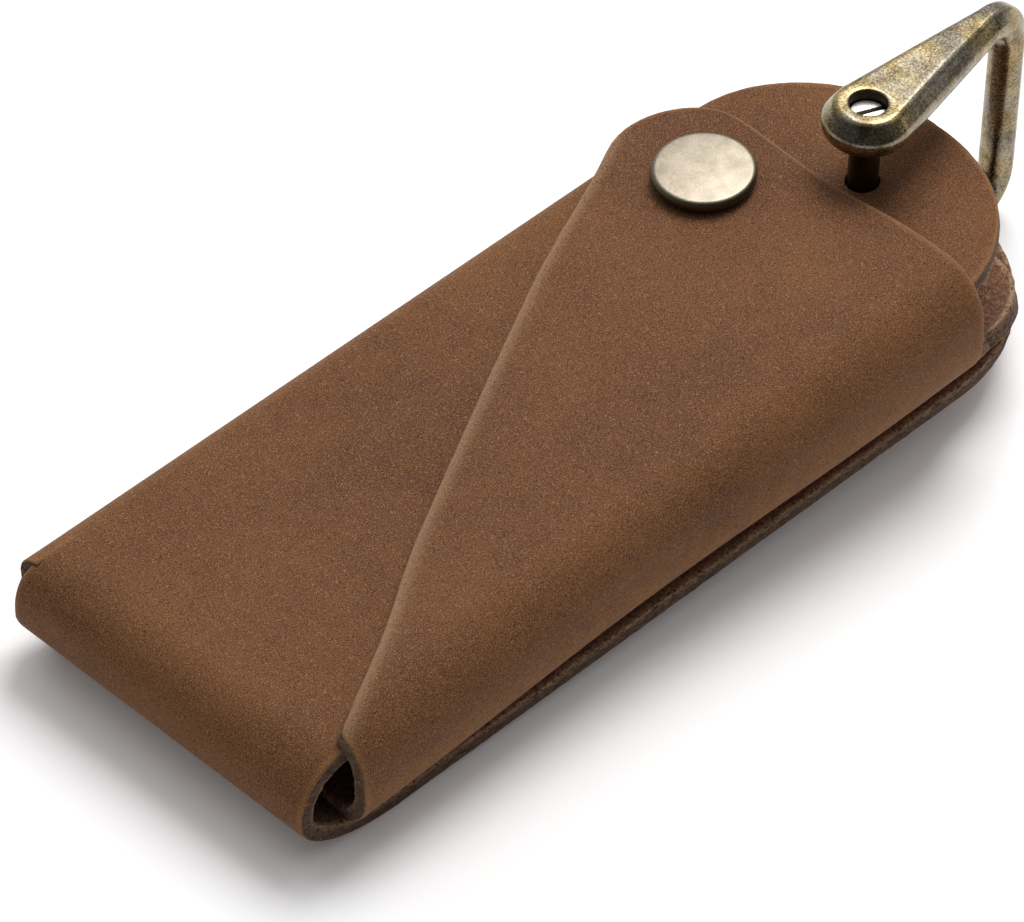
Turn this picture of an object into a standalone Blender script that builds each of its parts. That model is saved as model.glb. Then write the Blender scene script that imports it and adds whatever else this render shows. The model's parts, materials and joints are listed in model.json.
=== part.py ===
# A leather key case on a brass shackle.
# One piece of thick leather is folded into a flat tube for keys: a bottom strip turns over at the
# nose into the top panel, and a wing on the top panel's back edge wraps round underneath and up the
# front, where its flap closes with a snap. A slotted screw pin holds the leather in the shackle.
#
# World frame: metres, +Z up. The case lies on z = 0 along X, with the shackle towards +X, and the
# origin is on that surface at the centre of the footprint.
# Case frame: the same axes turned by the case's lean, because the shackle's lower arm lifts the
# leather at one end. x runs from the axis of the nose fold, y from the strip's centre line, and z
# from the strip's underside.

import math

import bmesh
import bpy
from mathutils import Vector

MM = 0.001

# Leather
LEATHER = 2.0 * MM              # thickness of the hide
LAYER_GAP = 0.3 * MM            # between layers that lie on each other
STRIP_WIDTH = 45.6 * MM         # bottom strip, nose and top panel
NOSE_RADIUS = 7.3 * MM          # outside of the nose fold
NOSE_TO_PIN = 102.6 * MM        # nose axis to pin axis
PIN_SIDE = 1.0 * MM             # pin axis off the strip's centre line, towards the front
TAB_REACH = 13.6 * MM           # pin axis to the end of the round tab
TAB_POWER = 2.15                # 2 makes the tab's end a half circle, more makes it squarer
STRIP_REACH = 17.8 * MM         # pin axis to the end of the bottom strip
TAB_HEIGHT = 16.6 * MM          # top panel's outside over the strip's underside, at the pin
BACK_BULGE_NOSE = 2.5 * MM      # back fold past the strip's edge, at the nose
BACK_BULGE_PIN = 0.8 * MM       # the same at the pin
BACK_SHOULDER = 3.5 * MM        # back fold's upper radius
BACK_HEEL = 4.3 * MM            # back fold's lower radius
BACK_TONGUE = 5.3 * MM          # back fold's cut end past the nose axis
FRONT_BULGE_NOSE = 3.0 * MM     # front fold past the strip's edge, at the nose
FRONT_BULGE_PIN = 2.8 * MM      # the same at the pin
FRONT_WAIST = 0.9 * MM          # the front fold draws in by this much between nose and pin
WAIST_LENGTH = 88.0 * MM        # from the nose axis to where it is full again
FRONT_SHOULDER_NOSE = 7.0 * MM  # front fold's upper radius at the nose
FRONT_SHOULDER_PIN = 6.5 * MM
FRONT_HEEL_NOSE = 6.0 * MM      # front fold's lower radius at the nose
FRONT_HEEL_PIN = 8.5 * MM
MIDDLE_REACH = 12.0 * MM        # pin axis to the end of the middle panel
MIDDLE_HALF = 23.0 * MM         # half the width of the middle panel's end
MIDDLE_CORNER = 12.1 * MM       # radius of that end's corners
MIDDLE_NECK = 4.3 * MM          # length over which the end narrows into the folds
PIN_HOLE_RADIUS = 2.35 * MM     # hole in each leather layer

# Flap
FLAP_LIFT = 1.0 * MM            # the closed snap holds the flap this far off the top panel
FLAP_TIP_RADIUS = 9.8 * MM
FLAP_TIP_BACK = 13.9 * MM       # centre of the rounded tip, towards the nose from the pin
FLAP_TIP_SIDE = 13.8 * MM       # the same, towards the back edge from the centre line
FLAP_SLANT = math.radians(28.0) # long cut edge, from the case's length
FLAP_END_SLANT = math.radians(2.5)  # short cut edge, from square
HINGE_GAP = 0.3 * MM            # between the flap and the fold that it bends from

# Snap, heights from the top panel's outside
SNAP_BACK = 14.4 * MM           # snap axis, towards the nose from the pin
SNAP_SIDE = 10.3 * MM           # the same, towards the back edge
CAP_RADIUS = 6.25 * MM
CAP_HEIGHT = 1.7 * MM
CAP_CROWN = 0.15 * MM           # rise of the face from its edge to its middle
CAP_ROUNDING = 0.65 * MM        # edge of the face
CAP_SHELL = 0.4 * MM
WASHER_RADIUS = 4.5 * MM
WASHER_THICKNESS = 0.3 * MM
POST_RADIUS = 1.5 * MM
POST_BORE = 0.9 * MM
POST_FLARE = 2.1 * MM
SOCKET_RADIUS = 4.8 * MM
SOCKET_BODY = 3.9 * MM
SOCKET_CAVITY = 3.2 * MM
SOCKET_LIP = 2.65 * MM
SOCKET_HEIGHT = 1.7 * MM
SOCKET_ROOF = 0.3 * MM
SPRING_WIRE = 0.22 * MM         # wire radius
SPRING_RADIUS = 2.9 * MM
SPRING_SPLIT = math.radians(32)
STUD_RADIUS = 4.6 * MM
STUD_FLANGE = 0.5 * MM
STUD_BALL = 2.3 * MM
STUD_HEIGHT = 1.0 * MM          # ball over the top panel
STUD_BORE = 1.6 * MM
EYELET_RADIUS = 4.4 * MM
EYELET_TUBE = 1.3 * MM
EYELET_BORE = 0.8 * MM
EYELET_FLANGE = 0.5 * MM
SNAP_GAP = 0.3 * MM             # metal to leather and stud to socket
SNAP_HOLE_GAP = 0.4 * MM        # leather hole round a post or tube

# Shackle and pin
ARM_THICKNESS = 5.0 * MM
ARM_SPACING = 29.2 * MM         # arm centre to arm centre
EYE_RADIUS = 5.4 * MM
BOW_RADIUS = 2.15 * MM
BOW_REACH = 27.8 * MM           # pin axis to bow axis
FLAT_REACH = 12.0 * MM          # the arms keep their full thickness this far past the pin
BEND_RADIUS = 5.1 * MM          # bow's corners, on the centre line
SHACKLE_TURN = math.radians(5.8)    # where the shackle lies, towards the back edge
PIN_RADIUS = 1.85 * MM
PIN_HEAD_RADIUS = 2.15 * MM
PIN_HEAD_HEIGHT = 1.6 * MM
PIN_HEAD_RECESS = 1.4 * MM      # head below the eye's face
PIN_THREAD_RADIUS = 1.6 * MM
PIN_CLEARANCE = 0.15 * MM       # radial, in both eyes
PIN_END_RECESS = 0.4 * MM       # pin's end above the lower eye's face
PIN_CHAMFER = 0.3 * MM
SLOT_WIDTH = 0.6 * MM
SLOT_DEPTH = 0.8 * MM
SLOT_TURN = math.radians(-21)   # where the slot stops when the screw is tight

# Counts of faces
NOSE_STEPS = 14
TAB_STEPS = 12
MIDDLE_STEPS = 18
ARC_STEPS = 6
LENGTH_STEPS = 10
TIP_STEPS = 16
EYE_STEPS = 9
BEND_STEPS = 7
SIDE_STEPS = 8
ROUND_STEPS = 32

# Places that follow from the sizes
HALF_WIDTH = STRIP_WIDTH / 2
TAB_CENTRE = NOSE_TO_PIN + TAB_REACH - HALF_WIDTH
STRIP_CENTRE = NOSE_TO_PIN + STRIP_REACH - HALF_WIDTH
MIDDLE_LOW = LEATHER + LAYER_GAP
LEAN = math.asin((ARM_THICKNESS + LAYER_GAP) / (NOSE_TO_PIN - EYE_RADIUS))
BOW_END = BOW_REACH * math.cos(SHACKLE_TURN) + BOW_RADIUS
PIN_X = (NOSE_TO_PIN * math.cos(LEAN) + NOSE_RADIUS - BOW_END) / 2
CENTRE_Y = (max(FRONT_BULGE_NOSE, FRONT_BULGE_PIN) - max(BACK_BULGE_NOSE, BACK_BULGE_PIN)) / 2
PIN_Y = CENTRE_Y - PIN_SIDE
ARM_LOW = ARM_THICKNESS / 2
ARM_HIGH = ARM_LOW + ARM_SPACING
SHACKLE_TOP = ARM_HIGH + ARM_THICKNESS / 2
CUT_OVER = 1.0 * MM             # cutters reach past what they cut


def clear_scene():
    for item in list(bpy.data.objects):
        bpy.data.objects.remove(item, do_unlink=True)


def make_collection(name):
    collection = bpy.data.collections.new(name)
    bpy.context.scene.collection.children.link(collection)
    return collection


def make_material(name, colour, roughness, metallic):
    material = bpy.data.materials.new(name)
    material.use_nodes = True
    shader = material.node_tree.nodes["Principled BSDF"]
    shader.inputs["Base Color"].default_value = (*colour, 1.0)
    shader.inputs["Roughness"].default_value = roughness
    shader.inputs["Metallic"].default_value = metallic
    return material


def make_empty(name, location, rotation=(0.0, 0.0, 0.0), parent=None):
    empty = bpy.data.objects.new(name, None)
    empty.empty_display_size = 5 * MM
    empty.location = location
    empty.rotation_euler = rotation
    empty.parent = parent
    parts.objects.link(empty)
    return empty


def add_object(name, mesh, material, parent=None, location=(0.0, 0.0, 0.0), collection=None):
    piece = bpy.data.objects.new(name, mesh)
    piece.parent = parent
    piece.location = location
    if material is not None:
        mesh.materials.append(material)
    (collection or parts).objects.link(piece)
    return piece


def add_cutter(name, mesh, parent=None, location=(0.0, 0.0, 0.0)):
    cutter = add_object(name, mesh, None, parent, location, cutters)
    cutter.hide_render = True
    cutter.display_type = "WIRE"
    return cutter


def cut(piece, cutter):
    step = piece.modifiers.new("cut_" + cutter.name, "BOOLEAN")
    step.operation = "DIFFERENCE"
    step.solver = "EXACT"
    step.object = cutter


def cylinder_mesh(name, radius, low, high, steps=ROUND_STEPS):
    form = bmesh.new()
    bmesh.ops.create_cone(form, cap_ends=True, segments=steps, radius1=radius, radius2=radius,
                          depth=high - low)
    bmesh.ops.translate(form, verts=form.verts, vec=(0.0, 0.0, (low + high) / 2))
    mesh = bpy.data.meshes.new(name)
    form.to_mesh(mesh)
    form.free()
    return mesh


def smooth(mesh, angle=40):
    mesh.shade_smooth()
    mesh.set_sharp_from_angle(angle=math.radians(angle))


def turned(name, profile, material, parent, closed=False, location=(0.0, 0.0, 0.0)):
    """Turn a profile of (radius, height) points, outer side downwards, round the local Z axis."""
    mesh = bpy.data.meshes.new(name)
    edges = [(i, i + 1) for i in range(len(profile) - 1)]
    if closed:
        edges.append((len(profile) - 1, 0))
    mesh.from_pydata([(radius, 0.0, height) for radius, height in profile], edges, [])
    piece = add_object(name, mesh, material, parent, location)
    screw = piece.modifiers.new("turn", "SCREW")
    screw.steps = ROUND_STEPS
    screw.render_steps = ROUND_STEPS
    screw.use_merge_vertices = True
    screw.merge_threshold = 0.000001
    screw.use_smooth_shade = False
    return piece


def arc(centre, radius, start, end, steps):
    """Points of an arc in a plane, from the start angle to the end angle in degrees."""
    angles = [math.radians(start + (end - start) * i / steps) for i in range(steps + 1)]
    return [(centre[0] + radius * math.cos(a), centre[1] + radius * math.sin(a)) for a in angles]


# The leather's shape, in the case frame

def between(at_nose, at_pin, x):
    return at_nose + (at_pin - at_nose) * x / NOSE_TO_PIN


def top_height(x):
    """Height of the top panel's outside: the case is a wedge, lowest at the nose."""
    return between(2 * NOSE_RADIUS, TAB_HEIGHT, x)


def flap_height(x):
    return top_height(x) + FLAP_LIFT + LEATHER


def fold(side, outer, low, high, heel, shoulder):
    """Section of a long fold from its lower tangent point to its upper one: arc, straight side, arc."""
    lower = arc((outer - heel, low + heel), heel, -90, 0, ARC_STEPS)
    upper = arc((outer - shoulder, high - shoulder), shoulder, 0, 90, ARC_STEPS)
    return [(side * y, z) for y, z in lower + upper]


def back_outer(x):
    return HALF_WIDTH + between(BACK_BULGE_NOSE, BACK_BULGE_PIN, x)


def back_fold(x):
    points = fold(1, back_outer(x), MIDDLE_LOW, top_height(x), BACK_HEEL, BACK_SHOULDER)
    return list(reversed(points))


def front_outer(x):
    """The front fold's side, drawn in a little at mid length."""
    share = min(1.0, max(0.0, x / WAIST_LENGTH))
    waist = FRONT_WAIST * math.sin(math.pi * share) ** 2
    return HALF_WIDTH + between(FRONT_BULGE_NOSE, FRONT_BULGE_PIN, x) - waist


def hinge_y(x):
    """Where the flap leaves the front fold, a straight line."""
    return between(FRONT_SHOULDER_NOSE - HALF_WIDTH - FRONT_BULGE_NOSE,
                   FRONT_SHOULDER_PIN - HALF_WIDTH - FRONT_BULGE_PIN, x)


def front_fold(x):
    heel = between(FRONT_HEEL_NOSE, FRONT_HEEL_PIN, x)
    shoulder = front_outer(x) + hinge_y(x)
    return fold(-1, front_outer(x), MIDDLE_LOW, flap_height(x), heel, shoulder)


def top_columns(x):
    """Places across the top panel, close together where the round tab meets its sides."""
    last = math.asin((back_outer(x) - BACK_SHOULDER) / HALF_WIDTH)
    angles = [-math.pi / 2 + (last + math.pi / 2) * i / TAB_STEPS for i in range(TAB_STEPS + 1)]
    return [HALF_WIDTH * math.sin(a) for a in angles]


def wing_section(x):
    """The leather's outside across the case: top panel, back fold, middle panel, front fold."""
    top = [(y, top_height(x)) for y in top_columns(x)]
    back = back_fold(x)
    front = front_fold(x)
    start, end = back[-1][0], front[0][0]
    middle = [(start + (end - start) * i / MIDDLE_STEPS, MIDDLE_LOW) for i in range(1, MIDDLE_STEPS)]
    return top + back[1:] + middle + front[:-1] + [(hinge_y(x) - HINGE_GAP / 2, flap_height(x))]


def round_end(centre, y, power=2.0):
    share = min(1.0, abs(y) / HALF_WIDTH)
    return centre + HALF_WIDTH * (1 - share ** power) ** (1 / power)


def middle_end(distance, fold_end):
    """End of the wing, from the pin, at a distance from the centre line along the leather."""
    corner_start = MIDDLE_HALF - MIDDLE_CORNER
    if distance <= corner_start:
        return MIDDLE_REACH
    if distance < MIDDLE_HALF:
        return MIDDLE_REACH - MIDDLE_CORNER + math.sqrt(
            MIDDLE_CORNER ** 2 - (distance - corner_start) ** 2)
    part = min(1.0, (distance - MIDDLE_HALF) / MIDDLE_NECK)
    ease = part * part * (3 - 2 * part)
    corner = MIDDLE_REACH - MIDDLE_CORNER
    return corner + (fold_end - corner) * ease


def flap_end_x(y):
    """The flap's short cut edge, from the pin."""
    tip_y = FLAP_TIP_SIDE - FLAP_TIP_RADIUS * math.sin(FLAP_END_SLANT)
    tip_x = FLAP_TIP_RADIUS * math.cos(FLAP_END_SLANT) - FLAP_TIP_BACK
    return tip_x - (tip_y - y) * math.tan(FLAP_END_SLANT)


def slant_end():
    """Where the flap's long cut edge meets its rounded tip."""
    return (NOSE_TO_PIN - FLAP_TIP_BACK - FLAP_TIP_RADIUS * math.sin(FLAP_SLANT),
            FLAP_TIP_SIDE + FLAP_TIP_RADIUS * math.cos(FLAP_SLANT))


def slant_x(y):
    """The flap's long cut edge, which runs on over the front fold's shoulder to the nose axis."""
    end_x, end_y = slant_end()
    return max(0.0, end_x - (end_y - y) / math.tan(FLAP_SLANT))


def wing_limits():
    """Left and right end of each column of wing_section, and which columns go past the nose axis."""
    section = wing_section(NOSE_TO_PIN)
    columns = TAB_STEPS + 1
    back_end = round_end(TAB_CENTRE, section[TAB_STEPS][0], TAB_POWER) - NOSE_TO_PIN
    front_end = flap_end_x(hinge_y(NOSE_TO_PIN))
    along = [0.0]
    for (y0, z0), (y1, z1) in zip(section, section[1:]):
        along.append(along[-1] + math.hypot(y1 - y0, z1 - z0))
    low_back = columns + 2 * ARC_STEPS
    middle = low_back + MIDDLE_STEPS
    centre = along[low_back] + section[low_back][0]
    last_low = middle + ARC_STEPS
    left, right, tongue = [], [], []
    for i, (y, z) in enumerate(section):
        left.append(slant_x(wing_section(0.0)[i][0]) if i > last_low else 0.0)
        if i < columns:
            right.append(round_end(TAB_CENTRE, y, TAB_POWER))
        else:
            fold_end = back_end if i < (low_back + middle) / 2 else front_end
            right.append(NOSE_TO_PIN + middle_end(abs(along[i] - centre), fold_end))
        tongue.append(columns + ARC_STEPS - 2 <= i <= columns + ARC_STEPS + 1)
    return left, right, tongue


def sheet_mesh():
    """The leather's outside as one open surface: strip, nose, top panel and wing."""
    form = bmesh.new()
    left, right, tongue = wing_limits()
    strip_columns = TAB_STEPS + 2
    shares = [i / LENGTH_STEPS for i in range(LENGTH_STEPS + 1)]

    wing = []
    for i, (start, end) in enumerate(zip(left, right)):
        row = []
        for share in shares:
            x = start + (end - start) * share
            y, z = wing_section(x)[i]
            row.append(form.verts.new((x, y, z)))
        wing.append(row)
    for i in range(len(wing) - 1):
        for j in range(LENGTH_STEPS):
            form.faces.new((wing[i][j], wing[i][j + 1], wing[i + 1][j + 1], wing[i + 1][j]))

    past = {}
    for i, goes_past in enumerate(tongue):
        if goes_past:
            y, z = wing_section(0.0)[i]
            past[i] = form.verts.new((-BACK_TONGUE, y, z))
    for i in past:
        if i + 1 in past:
            form.faces.new((past[i], wing[i][0], wing[i + 1][0], past[i + 1]))

    strip = []
    for i in range(strip_columns):
        y, height = wing_section(0.0)[i]
        end = round_end(STRIP_CENTRE, y)
        row = [wing[i][0]]
        for step in range(1, NOSE_STEPS + 1):
            turn = math.pi * step / NOSE_STEPS
            x = -height / 2 * math.sin(turn)
            row.append(form.verts.new((x, y, height / 2 * (1 + math.cos(turn)))))
        for share in shares[1:]:
            row.append(form.verts.new((end * share, y, 0.0)))
        strip.append(row)
    for i in range(strip_columns - 1):
        for j in range(len(strip[i]) - 1):
            form.faces.new((strip[i][j + 1], strip[i][j], strip[i + 1][j], strip[i + 1][j + 1]))

    mesh = bpy.data.meshes.new("leather_wrap")
    form.to_mesh(mesh)
    form.free()
    return mesh


def make_wrap():
    mesh = sheet_mesh()
    smooth(mesh)
    piece = add_object("leather_wrap", mesh, leather, case, (0.0, 0.0, -NOSE_RADIUS))
    wall = piece.modifiers.new("hide", "SOLIDIFY")
    wall.thickness = LEATHER
    wall.offset = -1.0
    wall.use_even_offset = True
    cut(piece, add_cutter("pin_holes", cylinder_mesh("pin_holes", PIN_HOLE_RADIUS, 0.0, SHACKLE_TOP),
                          None, (PIN_X, PIN_Y, 0.0)))
    hole = cylinder_mesh("stud_hole", EYELET_TUBE + SNAP_HOLE_GAP, -LEATHER - CUT_OVER, CUT_OVER)
    cut(piece, add_cutter("stud_hole", hole, snap))
    seat = cylinder_mesh("stud_seat", STUD_RADIUS + SNAP_GAP, -STUD_FLANGE - LAYER_GAP, CUT_OVER)
    cut(piece, add_cutter("stud_seat", seat, snap))
    return piece


def flap_outline():
    """The flap seen from above, from the hinge's nose end, as (x, y) in the case frame."""
    tip = (NOSE_TO_PIN - FLAP_TIP_BACK, FLAP_TIP_SIDE)
    turn = 90 + math.degrees(FLAP_SLANT)
    rounding = arc(tip, FLAP_TIP_RADIUS, -math.degrees(FLAP_END_SLANT), turn, TIP_STEPS)
    start_x = slant_x(hinge_y(0.0) + HINGE_GAP / 2)
    end_y = hinge_y(NOSE_TO_PIN) + HINGE_GAP / 2
    end_x = NOSE_TO_PIN + flap_end_x(end_y)
    start = (start_x, hinge_y(start_x) + HINGE_GAP / 2)
    return [start, (end_x, hinge_y(end_x) + HINGE_GAP / 2)] + rounding


def make_flap():
    curve = bpy.data.curves.new("flap_outline", "CURVE")
    curve.dimensions = "2D"
    curve.fill_mode = "BOTH"
    curve.extrude = LEATHER / 2
    spline = curve.splines.new("POLY")
    outline = flap_outline()
    spline.points.add(len(outline) - 1)
    for point, (x, y) in zip(spline.points, outline):
        point.co = (x / math.cos(WEDGE), y - hinge_y(0.0), 0.0, 1.0)
    spline.use_cyclic_u = True
    source = bpy.data.objects.new("flap_outline", curve)
    cutters.objects.link(source)
    bpy.context.view_layer.update()
    evaluated = source.evaluated_get(bpy.context.evaluated_depsgraph_get())
    mesh = bpy.data.meshes.new_from_object(evaluated)
    bpy.data.objects.remove(source, do_unlink=True)
    form = bmesh.new()
    form.from_mesh(mesh)
    bmesh.ops.remove_doubles(form, verts=form.verts, dist=0.000001)
    bmesh.ops.translate(form, verts=form.verts, vec=(0.0, 0.0, -LEATHER / 2))
    form.to_mesh(mesh)
    form.free()
    mesh.materials.clear()
    mesh.name = "leather_flap"
    piece = add_object("leather_flap", mesh, leather, flap_hinge)
    hole = cylinder_mesh("post_hole", POST_RADIUS + SNAP_HOLE_GAP, FLAP_LIFT,
                         FLAP_LIFT + LEATHER + CUT_OVER)
    cut(piece, add_cutter("post_hole", hole, snap))
    seat_top = LAYER_GAP + SOCKET_HEIGHT + SNAP_GAP
    seat = cylinder_mesh("socket_seat", SOCKET_RADIUS + SNAP_GAP, 0.0, seat_top)
    cut(piece, add_cutter("socket_seat", seat, snap))
    return piece


def make_snap():
    """The snap's turned pieces, each placed on the snap's axis."""
    base = FLAP_LIFT + LEATHER + SNAP_GAP
    top = base + CAP_HEIGHT
    edge = top - CAP_CROWN
    roof = edge - CAP_SHELL
    curl = base + CAP_SHELL
    inner = CAP_RADIUS - CAP_SHELL
    washer_top = roof - SNAP_GAP
    face = CAP_RADIUS - CAP_ROUNDING
    cap_profile = [(0.0, top), (face / 2, top - CAP_CROWN / 4)]
    cap_profile += arc((face, edge - CAP_ROUNDING), CAP_ROUNDING, 90, 0, 5)
    cap_profile += [(CAP_RADIUS, curl), (inner, base), (WASHER_RADIUS - SNAP_GAP, base),
                    (WASHER_RADIUS - SNAP_GAP, curl - CAP_SHELL / 2), (inner, curl), (inner, roof),
                    (0.0, roof)]
    turned("snap_cap", cap_profile, pale_brass, snap)

    socket_top = LAYER_GAP + SOCKET_HEIGHT
    flare_top = socket_top - SOCKET_ROOF - SNAP_GAP / 2
    washer_low = washer_top - WASHER_THICKNESS
    turned("snap_post", [(POST_BORE, washer_top), (WASHER_RADIUS, washer_top),
                         (WASHER_RADIUS, washer_low), (POST_RADIUS, washer_low),
                         (POST_RADIUS, flare_top + SNAP_GAP / 2), (POST_FLARE, flare_top),
                         (POST_FLARE, flare_top - SNAP_GAP / 2), (POST_BORE, flare_top - SNAP_GAP / 2)],
           steel, snap, closed=True)

    roof_hole = POST_RADIUS + SNAP_GAP
    roof_low = socket_top - SOCKET_ROOF
    waist = socket_top - 2 * SOCKET_ROOF
    lip_top = LAYER_GAP + SOCKET_ROOF / 2
    turned("snap_socket", [(roof_hole, socket_top), (SOCKET_RADIUS, socket_top),
                           (SOCKET_RADIUS, roof_low), (SOCKET_BODY, waist),
                           (SOCKET_BODY, lip_top), (SOCKET_CAVITY, LAYER_GAP),
                           (SOCKET_LIP, LAYER_GAP), (SOCKET_LIP, lip_top),
                           (SOCKET_CAVITY, lip_top), (SOCKET_CAVITY, roof_low),
                           (roof_hole, roof_low)], steel, snap, closed=True)

    spring_height = (lip_top + roof_low) / 2
    curve = bpy.data.curves.new("snap_spring", "CURVE")
    curve.dimensions = "3D"
    curve.bevel_depth = SPRING_WIRE
    curve.bevel_resolution = 1
    curve.use_fill_caps = True
    spline = curve.splines.new("POLY")
    half = math.degrees(SPRING_SPLIT) / 2
    ring = arc((0.0, 0.0), SPRING_RADIUS, half, 360 - half, ROUND_STEPS)
    spline.points.add(len(ring) - 1)
    for point, (x, y) in zip(spline.points, ring):
        point.co = (x, y, 0.0, 1.0)
    spring = bpy.data.objects.new("snap_spring", curve)
    spring.parent = snap
    spring.location = (0.0, 0.0, spring_height)
    curve.materials.append(steel)
    parts.objects.link(spring)

    flange_top = -LAYER_GAP / 3
    neck = STUD_BALL - SNAP_GAP
    ball_height = STUD_HEIGHT * 2 / 3
    turned("snap_stud", [(STUD_BORE, STUD_HEIGHT), (neck, STUD_HEIGHT), (STUD_BALL, ball_height),
                         (neck, STUD_HEIGHT / 3), (neck, flange_top), (STUD_RADIUS, flange_top),
                         (STUD_RADIUS, flange_top - STUD_FLANGE / 2),
                         (STUD_RADIUS - STUD_FLANGE / 2, -STUD_FLANGE),
                         (STUD_BORE, -STUD_FLANGE)], steel, snap, closed=True)

    under = -LEATHER - LAYER_GAP
    tube_top = STUD_HEIGHT - SNAP_GAP / 2
    turned("snap_eyelet", [(EYELET_BORE, tube_top), (EYELET_TUBE, tube_top), (EYELET_TUBE, under),
                           (EYELET_RADIUS, under), (EYELET_RADIUS, under - EYELET_FLANGE / 2),
                           (EYELET_RADIUS - EYELET_FLANGE / 2, under - EYELET_FLANGE),
                           (EYELET_BORE, under - EYELET_FLANGE)], steel, snap, closed=True)


def arm_section(x):
    """Half width and half thickness of the arm at a distance from the pin towards the bow."""
    length = BOW_REACH - BEND_RADIUS
    taper = math.asin((EYE_RADIUS - BOW_RADIUS) / length)
    if x > EYE_RADIUS * math.sin(taper):
        width = (EYE_RADIUS - x * math.sin(taper)) / math.cos(taper)
    else:
        width = EYE_RADIUS
    thinned = max(0.0, x - FLAT_REACH) / (length - FLAT_REACH)
    thick = ARM_THICKNESS / 2 + (BOW_RADIUS - ARM_THICKNESS / 2) * thinned
    return max(width, thick), thick


def arm_ring(x):
    """Ring of (side, height) points of the arm: flat faces, full round edges, and a round eye."""
    width, thick = arm_section(x)
    flat = width - thick
    limit = math.pi / 2
    if x < -flat:
        limit = math.acos(min(1.0, (-x - flat) / thick))
    ring = []
    for i in range(SIDE_STEPS + 1):
        turn = limit * (2 * i / SIDE_STEPS - 1)
        reach = flat + thick * math.cos(turn)
        side = math.sqrt(max(0.0, reach ** 2 - x ** 2)) if x < 0 else reach
        ring.append((side, thick * math.sin(turn)))
    return ring + [(-side, height) for side, height in reversed(ring)]


def make_shackle():
    """Upper half of the loop, from the eye's end over the bend to half height, and its mirror."""
    stations = []
    for i in range(1, EYE_STEPS + 1):
        x = -EYE_RADIUS * math.cos(math.pi / 2 * i / EYE_STEPS)
        stations.append((arm_ring(x), x, ARM_SPACING / 2, 0.0))
    straight = BOW_REACH - BEND_RADIUS
    for i in range(1, EYE_STEPS):
        x = straight * i / EYE_STEPS
        stations.append((arm_ring(x), x, ARM_SPACING / 2, 0.0))
    bow = arm_ring(straight)
    for i in range(BEND_STEPS + 1):
        turn = math.pi / 2 * i / BEND_STEPS
        x = straight + BEND_RADIUS * math.sin(turn)
        z = ARM_SPACING / 2 - BEND_RADIUS * (1 - math.cos(turn))
        stations.append((bow, x, z, turn))
    stations.append((bow, BOW_REACH, 0.0, math.pi / 2))

    form = bmesh.new()
    rings = []
    for ring, x, z, turn in stations:
        rings.append([form.verts.new((x + height * math.sin(turn), side, z + height * math.cos(turn)))
                      for side, height in ring])
    count = len(rings[0])
    for first, second in zip(rings, rings[1:]):
        for i in range(count):
            form.faces.new((first[i], first[(i + 1) % count], second[(i + 1) % count], second[i]))
    end = form.verts.new((-EYE_RADIUS, 0.0, ARM_SPACING / 2))
    for i in range(count):
        form.faces.new((end, rings[0][(i + 1) % count], rings[0][i]))
    bmesh.ops.remove_doubles(form, verts=form.verts, dist=0.000001)
    bmesh.ops.recalc_face_normals(form, faces=form.faces)
    mesh = bpy.data.meshes.new("shackle")
    form.to_mesh(mesh)
    form.free()
    smooth(mesh)
    middle = (ARM_LOW + ARM_HIGH) / 2
    piece = add_object("shackle", mesh, brass, None, (PIN_X, PIN_Y, middle))
    piece.rotation_euler = (0.0, 0.0, SHACKLE_TURN)
    mirror = piece.modifiers.new("lower_half", "MIRROR")
    mirror.use_axis = (False, False, True)
    mirror.merge_threshold = 0.000001

    seat = SHACKLE_TOP - PIN_HEAD_RECESS - PIN_HEAD_HEIGHT - LAYER_GAP
    head_radius = PIN_HEAD_RADIUS + PIN_CLEARANCE
    axis = (PIN_X, PIN_Y, 0.0)
    cut(piece, add_cutter("head_hole", cylinder_mesh("head_hole", head_radius, seat,
                                                     SHACKLE_TOP + CUT_OVER), None, axis))
    cut(piece, add_cutter("upper_hole", cylinder_mesh("upper_hole", PIN_RADIUS + PIN_CLEARANCE,
                                                      ARM_HIGH - ARM_THICKNESS, ARM_HIGH), None, axis))
    cut(piece, add_cutter("lower_hole", cylinder_mesh("lower_hole", PIN_THREAD_RADIUS + PIN_CLEARANCE,
                                                      -CUT_OVER, ARM_THICKNESS + CUT_OVER), None, axis))
    return piece


def make_pin():
    """Slotted screw pin, turned from the head's top to the threaded end in the lower eye."""
    top = SHACKLE_TOP - PIN_HEAD_RECESS
    seat = top - PIN_HEAD_HEIGHT
    shoulder = ARM_THICKNESS + LAYER_GAP
    profile = [(0.0, top), (PIN_HEAD_RADIUS - PIN_CHAMFER, top), (PIN_HEAD_RADIUS, top - PIN_CHAMFER),
               (PIN_HEAD_RADIUS, seat), (PIN_RADIUS, seat), (PIN_RADIUS, shoulder),
               (PIN_THREAD_RADIUS, shoulder), (PIN_THREAD_RADIUS, PIN_END_RECESS + PIN_CHAMFER),
               (PIN_THREAD_RADIUS - PIN_CHAMFER, PIN_END_RECESS), (0.0, PIN_END_RECESS)]
    piece = turned("shackle_pin", profile, dark_brass, None, location=(PIN_X, PIN_Y, 0.0))
    form = bmesh.new()
    bmesh.ops.create_cube(form, size=1.0)
    bmesh.ops.scale(form, verts=form.verts, vec=(3 * PIN_HEAD_RADIUS, SLOT_WIDTH, 2 * SLOT_DEPTH))
    mesh = bpy.data.meshes.new("pin_slot")
    form.to_mesh(mesh)
    form.free()
    slot = add_cutter("pin_slot", mesh, None, (PIN_X, PIN_Y, top))
    slot.rotation_euler = (0.0, 0.0, SLOT_TURN)
    cut(piece, slot)
    return piece


clear_scene()
parts = make_collection("leather_keychain")
cutters = make_collection("cutters")

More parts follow.
